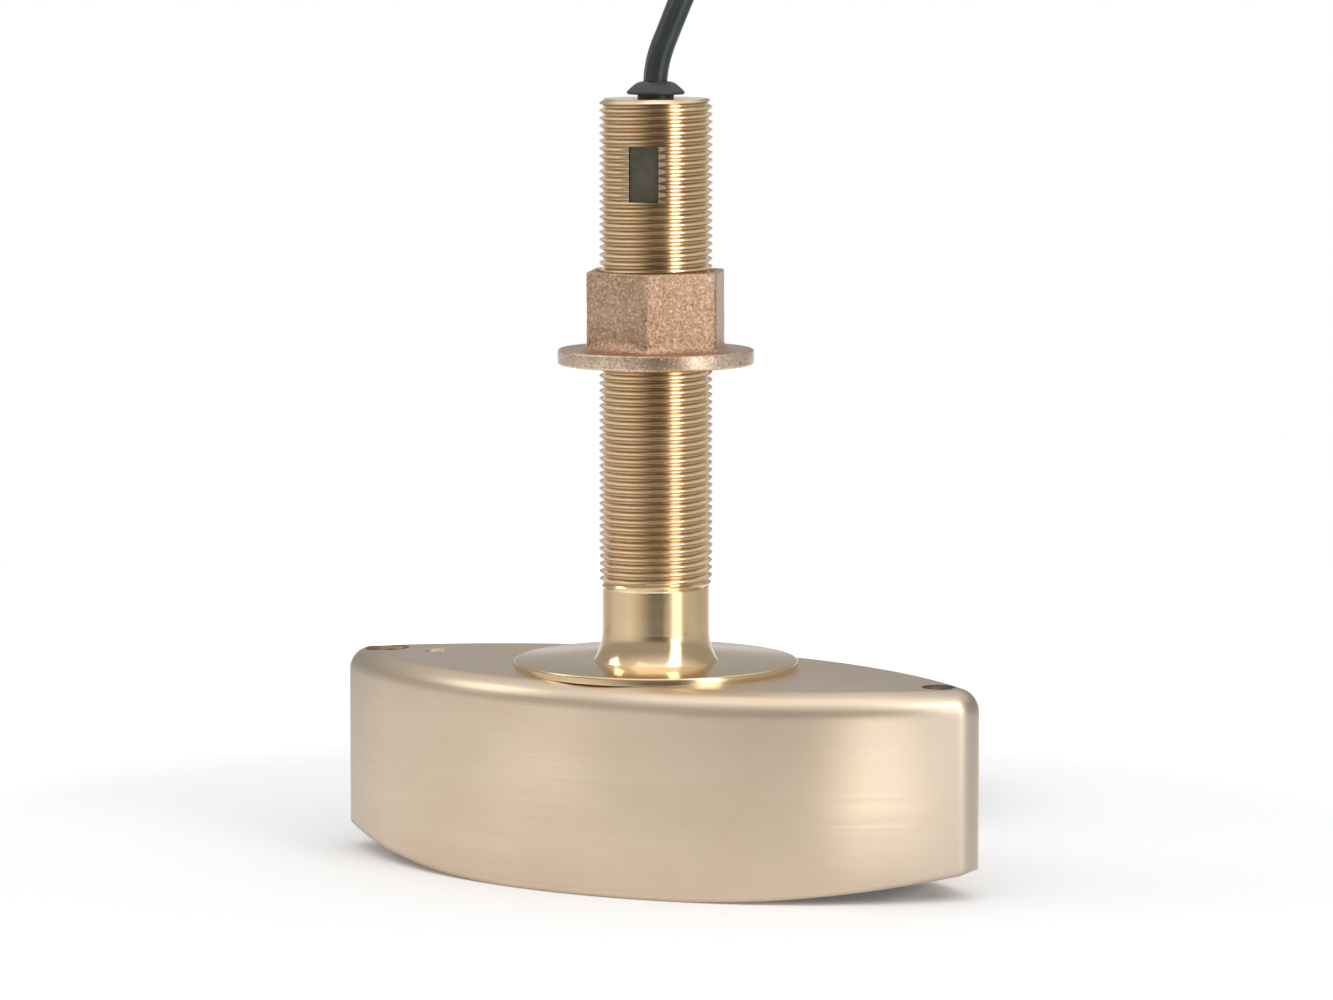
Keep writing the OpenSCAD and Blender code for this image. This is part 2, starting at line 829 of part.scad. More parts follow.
module plug_body() {
    collar = 1.5;
    color(rubber_grey)
        at_plug()
            rotate_extrude()
                polygon([[0, 0], [cable_r + collar, 0], [plug_d / 2 - collar, plug_relief_l],
                         [plug_d / 2, plug_relief_l + collar], [plug_d / 2, plug_relief_l + plug_body_l],
                         [0, plug_relief_l + plug_body_l]]);
}

module plug_shell() {
    color("silver")
        at_plug()
            translate([0, 0, plug_relief_l + plug_body_l])
                difference() {
                    cylinder(r = plug_shell_r, h = plug_shell_l);
                    translate([0, 0, -cut_over])
                        cylinder(r = plug_shell_r - plug_shell_wall, h = plug_shell_l + 2 * cut_over);
                }
}

module plug_insert() {
    color(cable_black)
        at_plug()
            translate([0, 0, plug_relief_l + plug_body_l])
                cylinder(r = plug_shell_r - plug_shell_wall - bond_gap, h = plug_insert_l);
}

module plug_pins() {
    color("gold")
        at_plug()
            translate([0, 0, plug_relief_l + plug_body_l + plug_insert_l])
                for (i = [0 : plug_pin_count - 1])
                    rotate(360 / plug_pin_count * i)
                        translate([plug_pin_circle_r, 0, 0])
                            cylinder(d = plug_pin_d, h = plug_pin_l);
}

housing();
stem();
stem_seal();
hull_nut();
filler_plug();
acoustic_window();
low_frequency_ceramic();
low_frequency_sleeve();
low_frequency_backing();
high_frequency_holder();
for (i = [0 : high_count - 1])
    high_frequency_ceramic(i);
high_frequency_backing();
tuning_board();
transformer_core();
transformer_winding();
temperature_sensor();
low_frequency_wire();
high_frequency_wire();
sensor_wire();
housing_potting();
stem_potting();
cable_root();
cable_grommet();
cable_lead();
cable_coil();
cable_tail();
for (i = [0 : len(tie_angles) - 1])
    coil_tie(i);
plug_body();
plug_shell();
plug_insert();
plug_pins();
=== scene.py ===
"""Looks of the through-hull sonar transducer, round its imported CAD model: metres, in the CAD's frame."""

import json
import math

import bmesh
import bpy
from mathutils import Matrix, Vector, noise


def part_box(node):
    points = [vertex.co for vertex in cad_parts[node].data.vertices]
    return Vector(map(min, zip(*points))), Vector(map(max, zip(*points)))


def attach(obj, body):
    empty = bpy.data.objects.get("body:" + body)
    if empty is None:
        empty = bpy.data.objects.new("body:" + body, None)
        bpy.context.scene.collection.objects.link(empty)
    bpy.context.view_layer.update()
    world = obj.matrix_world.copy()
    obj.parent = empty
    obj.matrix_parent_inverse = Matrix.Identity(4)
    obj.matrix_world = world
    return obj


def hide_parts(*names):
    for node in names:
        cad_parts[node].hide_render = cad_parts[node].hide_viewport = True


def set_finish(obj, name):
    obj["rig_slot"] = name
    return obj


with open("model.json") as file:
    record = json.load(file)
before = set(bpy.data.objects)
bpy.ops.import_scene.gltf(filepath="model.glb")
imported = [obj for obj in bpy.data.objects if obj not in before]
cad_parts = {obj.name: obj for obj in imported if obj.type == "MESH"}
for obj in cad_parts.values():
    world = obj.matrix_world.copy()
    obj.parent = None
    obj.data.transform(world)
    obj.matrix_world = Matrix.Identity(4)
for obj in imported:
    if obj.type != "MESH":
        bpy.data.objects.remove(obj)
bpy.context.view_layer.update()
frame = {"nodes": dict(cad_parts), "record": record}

MM = 0.001
BODY = "transducer"
NUT_BODY = "nut"
SMOOTH_ANGLE = 35
MERGE_GAP = 1e-7
BOX_FACES = [(3, 2, 1, 0), (4, 5, 6, 7), (0, 1, 5, 4), (1, 2, 6, 5), (2, 3, 7, 6), (3, 0, 4, 7)]


# Boxes of the CAD nodes that the pieces made here have to fit
_, housing_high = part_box("housing")
stem_low, stem_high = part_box("stem")
nut_low, nut_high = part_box("hull_nut")
grommet_low, grommet_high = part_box("cable_grommet")
seal_low, seal_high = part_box("stem_seal")

# The stem: spigot, seal groove, flange disc, flare, shank, bore and cap
HOUSING_TOP = housing_high.z
STEM_FOOT = stem_low.z
STEM_TOP = stem_high.z
FLANGE_R = stem_high.x
FLANGE_T = 2.2 * MM
FLANGE_TOP = HOUSING_TOP + FLANGE_T
FLANGE_EDGE = 0.6 * MM
SPIGOT_R = 19 * MM
SHANK_R = 15.1 * MM
SHANK_RISE = 20.4 * MM
SHANK_HOLD = 0.15 * MM
FLARE_RISE = 8.5 * MM
FLARE_REACH = 2.4 * MM
BORE_R = 10 * MM
CAP_T = 7 * MM
CAP_HOLE_R = 5.2 * MM
SEAL_ROOM = 0.3 * MM
SEAL_FLOOR_R = SPIGOT_R - 2.08 * MM

# The stem's thread: crest and root as shares of the pitch, and the faces that show as thread
THREAD_R = 15.875 * MM
THREAD_PITCH = 25.4 / 12 * MM
THREAD_DEPTH = 1.2 * MM
THREAD_ROOT_R = THREAD_R - THREAD_DEPTH
THREAD_CREST = 0.22
THREAD_ROOT = 0.2
THREAD_RUN_OUT = 1.2 * THREAD_PITCH
THREAD_LOW = FLANGE_TOP + SHANK_RISE
THREAD_SKIN_R = 12.2 * MM
THREAD_TOP_RIM = 0.2 * MM

# The pocket near the stem's top, and the shallow flat across the crests beside it
POCKET_W = 8.4 * MM
POCKET_H = 15.3 * MM
POCKET_DROP = 13 * MM
POCKET_TURN = 14
POCKET_FLOOR_R = 8 * MM
FLAT_W = 16 * MM
FLAT_R = 14.3 * MM

# The tapped holes at the housing's tips, with their thread's root and crest as shares of the pitch
TAP_X = housing_high.x - 11.5 * MM
TAP_LEFT_R = 5.1 * MM
TAP_RIGHT_R = 3.5 * MM
TAP_DEPTH = 17 * MM
TAP_DROP = 1.4 * MM
TAP_BEVEL = 1.2 * MM
TAP_PITCH = 1.5 * MM
TAP_ROOT = 0.15
TAP_ROOT_T = 0.1 * MM
TAP_CREST = (0.5, 0.65)
TAP_CREST_T = 0.75 * MM
TAP_ROOM = 0.02 * MM

# The nut, and the grain of its cast skin
NUT_Z = nut_low.z
NUT_H = nut_high.z - nut_low.z
NUT_FLANGE_R = nut_high.x
NUT_FLANGE_T = 4.2 * MM
NUT_RIM = 0.6 * MM
NUT_APOTHEM = 18.25 * MM
NUT_CORNER_R = 20.75 * MM
NUT_CORNER_EASE = 0.25 * MM
NUT_BORE_R = 15.955 * MM
NUT_BEVEL = 1 * MM
NUT_EDGE = 0.5 * MM
NUT_BLEND_R = 22.2 * MM
NUT_BLEND_H = 4 * MM
NUT_TURN = -9.4
CAST_DEPTH = 0.07 * MM
CAST_GRAIN = 1.1 * MM
CAST_GRAIN_SHARE = 0.6
CAST_FINE = 0.45 * CAST_GRAIN
CAST_FINE_SHARE = 0.6
CAST_BROAD = 9 * CAST_GRAIN
CAST_BROAD_SHARE = 1.5

# The cable, its coil, its straps and its end
CABLE_R = 3.2 * MM
LEAD_Z = grommet_high.z
LEAD_TURN = math.radians(28)
COIL_SIDE = 15 * MM
COIL_BACK = 122.8 * MM
COIL_ROWS = 4
COIL_COLUMNS = 6
COIL_PITCH = 6.5 * MM
COIL_INNER_R = 37.75 * MM
COIL_OUTER_R = COIL_INNER_R + (COIL_COLUMNS - 1) * COIL_PITCH
COIL_START = math.radians(34)
COIL_DROP = math.radians(60)
COIL_LOW = 1.4 * MM
TIE_T = 1.2 * MM
TIE_W = 12 * MM
TIE_CROWN = 0.25 * TIE_W
TIE_GAP = 0.3 * MM
TIE_ROUND = 3.4 * MM
TIE_ANGLES = (110, 185)
TAIL_R = 23 * MM
TAIL_START = COIL_START + (COIL_ROWS - 1) * COIL_DROP
TAIL_SWEEP = math.radians(150)

# The grommet: its dome in steps from the rim, and up from the cap's foot or down from its top, in millimetres
GROMMET_HOLE_R = CABLE_R + 0.05 * MM
GROMMET_NECK_R = 5.1 * MM
GROMMET_LIP_R = 6.7 * MM
GROMMET_LIP_TOP = STEM_TOP - CAP_T - 0.1 * MM
GROMMET_CAP_R = grommet_high.x
GROMMET_CAP_LOW = grommet_low.z + 10.6 * MM
GROMMET_BRIM = 0.55 * MM
GROMMET_HOLLOW = 0.5 * MM
GROMMET_HOLLOW_EDGE = (2.2 * MM, 0.35 * MM)
GROMMET_DOME_LOW = [(1.2, 1.9), (2.1, 2.7)]
GROMMET_DOME_HIGH = [(3.0, 0.35), (3.8, 0.08)]
GROMMET_MOUTH = 0.4 * MM

# The plug: ribbed relief, body and knurled shell. A rib's points are on its crest (0) or in its groove (1)
PLUG_R = 8 * MM
PLUG_RELIEF = 9 * MM
PLUG_BODY = 12 * MM
PLUG_BODY_TOP = PLUG_RELIEF + PLUG_BODY
PLUG_FOOT_R = CABLE_R + 1.2 * MM
PLUG_SHOULDER = (1.2 * MM, 1.4 * MM)
PLUG_EDGE = 0.6 * MM
PLUG_RIBS = 4
PLUG_RIB_R = CABLE_R + 1.5 * MM
PLUG_RIB_SPREAD = PLUG_R - CABLE_R - 3 * MM
PLUG_RIB_H = 0.7 * MM
PLUG_RIB = [(-0.35, 0), (0.1, 0), (0.2, 1), (0.45, 1)]
PLUG_SHELL = 12 * MM
PLUG_SHELL_R = 7.5 * MM
PLUG_SHELL_WALL = 1.2 * MM
PLUG_SHELL_EDGE = 0.4 * MM
PLUG_SHELL_COLLAR = 2.2 * MM
KNURL_R = PLUG_SHELL_R - 0.2 * MM
KNURL_FOOT = 0.6 * MM
KNURL_END = 2.6 * MM
KNURL_OUT = 0.2 * MM
KNURL_IN = 0.15 * MM
KNURL_PERIOD = 4
KNURL_ROWS = [(1.2 + 0.8 * i) * MM for i in range(9)]


# The cable's route, as in the CAD source: side, back and up in millimetres, turned about the stem
LEAD_ROUTE = [
    (0, 0, LEAD_Z / MM), (0.6, 0, 227), (1.8, 0, 231.5), (3.9, 0, 237), (7.6, 0, 246), (11, 2, 254),
    (17, 8, 268), (22, 21, 280), (24, 40, 285), (22, 60, 280), (17, 74, 268), (11.5, 80, 254),
    (8, 81, 245), (4.1, 81, 235), (1.9, 81, 229.5), (0.6, 81, 224.5), (0, 81, 218), (-0.5, 81, 200),
    (-0.5, 81, 180), (-0.5, 81, 160), (-0.5, 81, 140), (-0.5, 81, 120), (0, 81, 100), (0.3, 81, 82),
    (1, 80.7, 66), (4.9, 79.6, 52), (12.4, 78.6, 41.5), (21.9, 79.2, 34.3), (32.3, 82.7, 31.4),
    (42.2, 89.4, 30.9), (49.2, 97.9, 30.9), (53.4, 107.3, 30.9), (54.8, 115.8, 30.5), (53.9, 123.8, 29.2),
    (52, 131.4, 27), (49.4, 138.1, 25), (46.3, 143.9, 24.15),
]


def turned(angle, side, back, up):
    """A point to the side, back and up, turned about the stem's axis by an angle in radians."""
    c, s = math.cos(angle), math.sin(angle)
    return Vector((side * c - back * s, side * s + back * c, up))


def turned_about_stem(side, back, up):
    """A point of the cable's own frame in the part's frame."""
    return turned(LEAD_TURN, side, back, up)


def coil_point(angle, radius, up):
    """A point round the coil's axis in the part's frame."""
    return turned_about_stem(COIL_SIDE + radius * math.cos(angle), COIL_BACK + radius * math.sin(angle), up)


# Mesh building


def mesh_object(name, vertices, faces, body, smooth_angle=SMOOTH_ANGLE):
    """A mesh piece that rides on a body: doubles merged, normals outward, edges sharp above an angle."""
    mesh = bpy.data.meshes.new(name)
    work = bmesh.new()
    made = [work.verts.new(v) for v in vertices]
    for face in faces:
        work.faces.new([made[i] for i in face])
    bmesh.ops.remove_doubles(work, verts=work.verts, dist=MERGE_GAP)
    bmesh.ops.dissolve_degenerate(work, edges=work.edges, dist=MERGE_GAP)
    bmesh.ops.recalc_face_normals(work, faces=work.faces)
    work.to_mesh(mesh)
    work.free()
    piece = bpy.data.objects.new(name, mesh)
    bpy.context.scene.collection.objects.link(piece)
    smooth(piece, smooth_angle)
    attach(piece, body)
    return piece


def smooth(piece, angle):
    """Smooth shading, with sharp edges above an angle in degrees."""
    piece.data.polygons.foreach_set("use_smooth", [True] * len(piece.data.polygons))
    piece.data.set_sharp_from_angle(angle=math.radians(angle))


def ring_object(name, points, columns, body, smooth_angle=SMOOTH_ANGLE):
    """A piece from rings that end on their first point again. The last ring meets the first."""
    wide = columns + 1
    rings = len(points) // wide
    faces = []
    for i in range(rings):
        here, there = i * wide, (i + 1) % rings * wide
        faces += [(here + j, here + j + 1, there + j + 1, there + j) for j in range(columns)]
    return mesh_object(name, points, faces, body, smooth_angle)


def arc(centre, radius, start, end, steps):
    """Points (r, z) on an arc, angles in degrees."""
    turns = [math.radians(start + (end - start) * i / steps) for i in range(steps + 1)]
    return [(centre[0] + radius * math.cos(t), centre[1] + radius * math.sin(t)) for t in turns]


def turns_of(columns):
    """The angles of a full round of columns, with the first one again at the end."""
    return [2 * math.pi * j / columns for j in range(columns + 1)]


def around(profile, columns):
    """The points of a profile of (r, z) pairs, revolved about Z."""
    turns = turns_of(columns)
    return [(r * math.cos(t), r * math.sin(t), z) for r, z in profile for t in turns]


def lathe(name, profile, body, columns=96, smooth_angle=SMOOTH_ANGLE):
    """A closed profile of (r, z) pairs, revolved about Z."""
    return ring_object(name, around(profile, columns), columns, body, smooth_angle)


def cut(piece, cutter):
    """Takes the cutter's volume out of the piece for good."""
    change = piece.modifiers.new("cut", "BOOLEAN")
    change.operation = "DIFFERENCE"
    change.solver = "EXACT"
    change.object = cutter
    bpy.context.view_layer.update()
    made = bpy.data.meshes.new_from_object(piece.evaluated_get(bpy.context.evaluated_depsgraph_get()))
    piece.modifiers.clear()
    piece.data = made
    bpy.data.objects.remove(cutter)


def block(low, high, turn):
    """A box between two corners, turned about Z in degrees. It isn't a piece: it only cuts."""
    base = ((low[0], low[1]), (high[0], low[1]), (high[0], high[1]), (low[0], high[1]))
    corners = [(x, y, z) for z in (low[2], high[2]) for x, y in base]
    mesh = bpy.data.meshes.new("cutter")
    mesh.from_pydata(corners, [], BOX_FACES)
    cutter = bpy.data.objects.new("cutter", mesh)
    cutter.rotation_euler.z = math.radians(turn)
    bpy.context.scene.collection.objects.link(cutter)
    return cutter


def helix(low, high, pitch, section, columns, radius_at):
    """Points of a helical thread, row by row. Its section is shares of a turn, and values for radius_at."""
    turns = math.ceil((high - low) / pitch) + 1
    points = []
    for k in range(-1, turns):
        for phase, value in section:
            for j, angle in enumerate(turns_of(columns)):
                z = min(max(low + pitch * (k + phase + j / columns), low), high)
                r = radius_at(value, z)
                points.append((r * math.cos(angle), r * math.sin(angle), z))
    return points


# Pieces


def thread_rows(columns):
    """Points of the stem's thread, row by row, from its run-out at the shank to the chamfered top."""
    flank = (1 - THREAD_CREST - THREAD_ROOT) / 2
    section = [
        (0, THREAD_ROOT_R), (THREAD_ROOT, THREAD_ROOT_R), (THREAD_ROOT + flank, THREAD_R),
        (THREAD_ROOT + flank + THREAD_CREST, THREAD_R),
    ]

    def radius_at(radius, z):
        share = min((z - THREAD_LOW) / THREAD_RUN_OUT, 1)
        return min(SHANK_R + (radius - SHANK_R) * share, THREAD_ROOT_R + STEM_TOP - z)

    return helix(THREAD_LOW, STEM_TOP, THREAD_PITCH, section, columns, radius_at)


def make_stem():
    """The turned stem with its thread, and with the flat and the pocket cut into it."""
    columns = 144
    flare_r = (FLARE_RISE**2 + FLARE_REACH**2) / (2 * FLARE_REACH)
    flare_span = math.degrees(math.asin(FLARE_RISE / flare_r))
    seal_foot, seal_top = seal_low.z - SEAL_ROOM, seal_high.z + SEAL_ROOM
    below = [
        (BORE_R, STEM_FOOT), (SPIGOT_R, STEM_FOOT), (SPIGOT_R, seal_foot), (SEAL_FLOOR_R, seal_foot),
        (SEAL_FLOOR_R, seal_top), (SPIGOT_R, seal_top), (SPIGOT_R, HOUSING_TOP), (FLANGE_R, HOUSING_TOP),
    ]
    below += arc((FLANGE_R - FLANGE_EDGE, FLANGE_TOP - FLANGE_EDGE), FLANGE_EDGE, 0, 90, steps=4)
    below += arc((SHANK_R + flare_r, FLANGE_TOP + FLARE_RISE), flare_r, 180 + flare_span, 180, steps=16)
    below += [(SHANK_R, THREAD_LOW - SHANK_HOLD), (SHANK_R, THREAD_LOW)]
    above = [(CAP_HOLE_R, STEM_TOP), (CAP_HOLE_R, STEM_TOP - CAP_T), (BORE_R, STEM_TOP - CAP_T)]
    points = around(below, columns) + thread_rows(columns) + around(above, columns)
    stem = ring_object("threaded_stem", points, columns, BODY)
    top = STEM_TOP - POCKET_DROP
    for width, floor_r in ((FLAT_W, FLAT_R), (POCKET_W, POCKET_FLOOR_R)):
        low = (-width / 2, -2 * THREAD_R, top - POCKET_H)
        high = (width / 2, -floor_r, top)
        cut(stem, block(low, high, POCKET_TURN))
    smooth(stem, SMOOTH_ANGLE)
    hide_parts("stem")
    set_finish(stem, "stem_bronze")
    return stem


def make_tapped_hole(name, x, radius):
    """The helical thread inside one of the housing's tapped holes, as a thin bush."""
    columns = 72
    low, high = HOUSING_TOP - TAP_DEPTH, HOUSING_TOP - TAP_DROP
    section = [(0, TAP_ROOT_T), (TAP_ROOT, TAP_ROOT_T), *((share, TAP_CREST_T) for share in TAP_CREST)]

    def radius_at(rise, z):
        share = min((z - low) / TAP_PITCH, (high - z) / TAP_PITCH, 1)
        return radius - TAP_ROOM - TAP_ROOT_T - (rise - TAP_ROOT_T) * share

    points = helix(low, high, TAP_PITCH, section, columns, radius_at)
    points += around([(radius - TAP_ROOM, high), (radius - TAP_ROOM, low)], columns)
    points = [(x + across, y, z) for across, y, z in points]
    bush = ring_object(name, points, columns, BODY)
    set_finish(bush, "housing_bronze")
    return bush


def hexagon_radius(angle):
    """Distance from the nut's axis to its side at an angle in radians, with slightly rounded corners."""
    off = (angle - math.radians(NUT_TURN)) % math.radians(60) - math.radians(30)
    gap = NUT_APOTHEM / math.cos(off) - NUT_CORNER_R
    return NUT_CORNER_R + (gap - math.sqrt(gap * gap + NUT_CORNER_EASE * NUT_CORNER_EASE)) / 2


def cast_offset(place):
    """How far the nut's cast skin stands out at a point: two sizes of grain on a broad waviness."""
    grain = noise.noise(place / CAST_GRAIN) + CAST_FINE_SHARE * noise.noise(place / CAST_FINE)
    broad = noise.noise(place / CAST_BROAD)
    return CAST_DEPTH * (CAST_GRAIN_SHARE * grain + CAST_BROAD_SHARE * broad)


def make_nut():
    """The cast hexagon nut: round flange, blend, six grainy sides with eased edges, and a plain bore."""
    columns, face_rows, blend_rows, side_rows, edge_rows = 288, 10, 8, 44, 4
    turns = turns_of(columns)
    hexagon = [hexagon_radius(t) for t in turns]
    rim_r = NUT_FLANGE_R - NUT_RIM
    low = [(NUT_BORE_R + NUT_BEVEL, 0), (rim_r, 0)]
    low += arc((rim_r, NUT_RIM), NUT_RIM, -90, 0, edge_rows)
    low += arc((rim_r, NUT_FLANGE_T - NUT_RIM), NUT_RIM, 0, 90, edge_rows)
    low += [
        (NUT_BLEND_R + (rim_r - NUT_BLEND_R) * (1 - i / face_rows), NUT_FLANGE_T) for i in range(1, face_rows)
    ]
    rows = [[(r, z)] * (columns + 1) for r, z in low]
    for i in range(blend_rows + 1):
        share = math.radians(90) * i / blend_rows
        row = []
        for r in hexagon:
            reach = NUT_BLEND_R - r
            height = NUT_BLEND_H * reach / (NUT_BLEND_R - NUT_APOTHEM)
            row.append((NUT_BLEND_R - reach * math.sin(share), NUT_FLANGE_T + height * (1 - math.cos(share))))
        rows.append(row)
    start = [z for _, z in rows[-1]]
    side_top = NUT_H - NUT_EDGE
    for i in range(1, side_rows + 1):
        share = i / side_rows
        rows.append([(r, z + (side_top - z) * share) for r, z in zip(hexagon, start)])
    for i in range(1, edge_rows + 1):
        t = math.radians(90) * i / edge_rows
        rows.append([(r - NUT_EDGE * (1 - math.cos(t)), side_top + NUT_EDGE * math.sin(t)) for r in hexagon])
    high = [(NUT_BORE_R + NUT_BEVEL, NUT_H), (NUT_BORE_R, NUT_H - NUT_BEVEL), (NUT_BORE_R, NUT_BEVEL)]
    rows += [[(r, z)] * (columns + 1) for r, z in high]
    points = []
    for row in rows:
        for (r, z), t in zip(row, turns):
            if r > NUT_APOTHEM - NUT_EDGE and z > NUT_FLANGE_T - NUT_RIM:
                r += cast_offset(Vector((math.cos(t) * r, math.sin(t) * r, z)))
            points.append((r * math.cos(t), r * math.sin(t), NUT_Z + z))
    nut = ring_object("cast_hull_nut", points, columns, NUT_BODY, smooth_angle=50)
    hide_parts("hull_nut")
    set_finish(nut, "nut_bronze")
    return nut


def make_grommet():
    """The rubber bush in the stem's mouth: lip, neck, and a domed cap round the cable."""
    lip_low, lip_r = grommet_low.z, GROMMET_LIP_R
    cap_low, cap_r = GROMMET_CAP_LOW, GROMMET_CAP_R
    hollow_in, hollow_up = GROMMET_HOLLOW_EDGE
    brim = GROMMET_BRIM
    profile = [(GROMMET_HOLE_R, lip_low), (lip_r - brim, lip_low)]
    profile += arc((lip_r - brim, lip_low + brim), brim, -90, 0, steps=4)
    profile += [(lip_r, GROMMET_LIP_TOP), (GROMMET_NECK_R, GROMMET_LIP_TOP)]
    profile += [(GROMMET_NECK_R, cap_low + GROMMET_HOLLOW)]
    profile += [(cap_r - hollow_in, cap_low + hollow_up), (cap_r - brim, cap_low)]
    profile += arc((cap_r - brim, cap_low + brim), brim, -60, 60, steps=6)
    profile += [(cap_r - r * MM, cap_low + z * MM) for r, z in GROMMET_DOME_LOW]
    profile += [(cap_r - r * MM, LEAD_Z - z * MM) for r, z in GROMMET_DOME_HIGH]
    profile += [(GROMMET_HOLE_R + GROMMET_MOUTH, LEAD_Z), (GROMMET_HOLE_R, LEAD_Z - GROMMET_MOUTH)]
    grommet = lathe("rubber_grommet", profile, BODY, smooth_angle=60)
    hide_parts("cable_grommet")
    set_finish(grommet, "grey_rubber")
    return grommet


def smoothed(points, steps):
    """A Catmull-Rom curve through the points."""
    ends = [2 * points[0] - points[1], *points, 2 * points[-1] - points[-2]]
    line = []
    for a, b, c, d in zip(ends, ends[1:], ends[2:], ends[3:]):
        second, third = 2 * a - 5 * b + 4 * c - d, 3 * b - 3 * c + d - a
        for i in range(steps):
            t = i / steps
            line.append(0.5 * (2 * b + (c - a) * t + second * t**2 + third * t**3))
    return line + [points[-1]]


def coil_line():
    """The wound turns: each row a flat spiral, out and in by turns, from the top row down."""
    turns = COIL_COLUMNS - 1
    turn_steps, drop_steps = 72 * turns, 12
    line, angle = [], COIL_START
    for row in range(COIL_ROWS):
        up = COIL_LOW + COIL_PITCH * (COIL_ROWS - row - 0.5)
        start, end = (COIL_INNER_R, COIL_OUTER_R) if row % 2 == 0 else (COIL_OUTER_R, COIL_INNER_R)
        for i in range(1, turn_steps + 1):
            share = i / turn_steps
            line.append(coil_point(angle + 2 * math.pi * turns * share, start + (end - start) * share, up))
        angle += 2 * math.pi * turns
        if row < COIL_ROWS - 1:
            for i in range(1, drop_steps + 1):
                share = i / drop_steps
                ease = share * share * (3 - 2 * share)
                line.append(coil_point(angle + COIL_DROP * share, end, up - COIL_PITCH * ease))
            angle += COIL_DROP
    return line


def tail_line():
    """The cable's end: an arc out of the inner turn, rising to the plug's axis."""
    steps = 24
    low = COIL_LOW + COIL_PITCH / 2
    centre_r = COIL_INNER_R - TAIL_R
    line = []
    for i in range(1, steps + 1):
        share = i / steps
        angle = TAIL_START + TAIL_SWEEP * share
        side = centre_r * math.cos(TAIL_START) + TAIL_R * math.cos(angle)
        back = centre_r * math.sin(TAIL_START) + TAIL_R * math.sin(angle)
        line.append(turned_about_stem(COIL_SIDE + side, COIL_BACK + back, low + (PLUG_R - low) * share))
    return line


def make_cable():
    """The cable as one curve, with the place of its end and the heading there."""
    lead = smoothed([turned_about_stem(*(MM * x for x in p)) for p in LEAD_ROUTE], steps=5)
    line = lead + coil_line() + tail_line()
    shape = bpy.data.curves.new("cable", "CURVE")
    shape.dimensions = "3D"
    shape.bevel_depth = 1.0
    shape.bevel_resolution = 4
    shape.use_fill_caps = True
    spline = shape.splines.new("POLY")
    spline.points.add(len(line) - 1)
    for point, place in zip(spline.points, line):
        point.co = (*place, 1)
        point.radius = CABLE_R
    spline.use_smooth = True
    cable = bpy.data.objects.new("cable", shape)
    bpy.context.scene.collection.objects.link(cable)
    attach(cable, BODY)
    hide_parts("cable_lead", "cable_coil", "cable_tail")
    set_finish(cable, "cable_jacket")
    return cable, line[-1], line[-1] - line[-2]


def make_tie(number, angle):
    """A strap with bevelled edges, wrapped round the coil's section at an angle in degrees."""
    half_w = COIL_COLUMNS * COIL_PITCH / 2 + TIE_GAP
    low, high = COIL_LOW - TIE_GAP / 2, COIL_LOW + COIL_ROWS * COIL_PITCH + TIE_GAP
    middle_r = (COIL_INNER_R + COIL_OUTER_R) / 2
    corners = [
        ((half_w - TIE_ROUND, high - TIE_ROUND), 0), ((TIE_ROUND - half_w, high - TIE_ROUND), 90),
        ((TIE_ROUND - half_w, low + TIE_ROUND), 180), ((half_w - TIE_ROUND, low + TIE_ROUND), 270),
    ]
    loop = []
    for centre, start in corners:
        inner = arc(centre, TIE_ROUND, start, start + 90, steps=6)
        outer = arc(centre, TIE_ROUND + TIE_T, start, start + 90, steps=6)
        loop += list(zip(inner, outer))
    turn = math.radians(angle)
    points, faces = [], []
    for (in_r, in_z), (out_r, out_z) in loop:
        section = [
            (in_r, in_z, -TIE_W / 2), (out_r, out_z, TIE_CROWN - TIE_W / 2),
            (out_r, out_z, TIE_W / 2 - TIE_CROWN), (in_r, in_z, TIE_W / 2),
        ]
        for r, z, along in section:
            radius = middle_r + r
            side = COIL_SIDE + radius * math.cos(turn) - along * math.sin(turn)
            back = COIL_BACK + radius * math.sin(turn) + along * math.cos(turn)
            points.append(turned_about_stem(side, back, max(z, 0)))
    count, sides = len(loop), len(section)
    for i in range(count):
        here, there = sides * i, sides * ((i + 1) % count)
        for j in range(sides):
            beside = (j + 1) % sides
            faces.append((here + j, here + beside, there + beside, there + j))
    tie = mesh_object(f"strap_{number}", points, faces, BODY, smooth_angle=40)
    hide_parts(f"coil_tie_{number}")
    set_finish(tie, "tie_strap")
    return tie


def laid_at(piece, place, heading):
    """Lays a piece that was made along +Z at a place, along a heading."""
    turn = Vector((0, 0, 1)).rotation_difference(Vector((heading.x, heading.y, 0)))
    for vertex in piece.data.vertices:
        vertex.co = turn @ vertex.co + place
    piece.data.update()


def make_plug_body(place, heading):
    """The plug's moulding: a ribbed relief round the cable, and a plain body."""
    profile = [(0, 0), (PLUG_FOOT_R, 0)]
    step = PLUG_RELIEF / PLUG_RIBS
    for i in range(PLUG_RIBS):
        z = PLUG_RELIEF * (i + 0.5) / PLUG_RIBS
        r = PLUG_RIB_R + PLUG_RIB_SPREAD * i / PLUG_RIBS
        profile += [(r - groove * PLUG_RIB_H, z + along * step) for along, groove in PLUG_RIB]
    shoulder_in, shoulder_up = PLUG_SHOULDER
    profile += [(PLUG_R - shoulder_in, PLUG_RELIEF), (PLUG_R, PLUG_RELIEF + shoulder_up)]
    profile += [(PLUG_R, PLUG_BODY_TOP - PLUG_EDGE), (PLUG_R - PLUG_EDGE, PLUG_BODY_TOP), (0, PLUG_BODY_TOP)]
    body = lathe("plug_moulding", profile, BODY, columns=64)
    laid_at(body, place, heading)
    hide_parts("plug_body")
    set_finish(body, "grey_rubber")
    return body


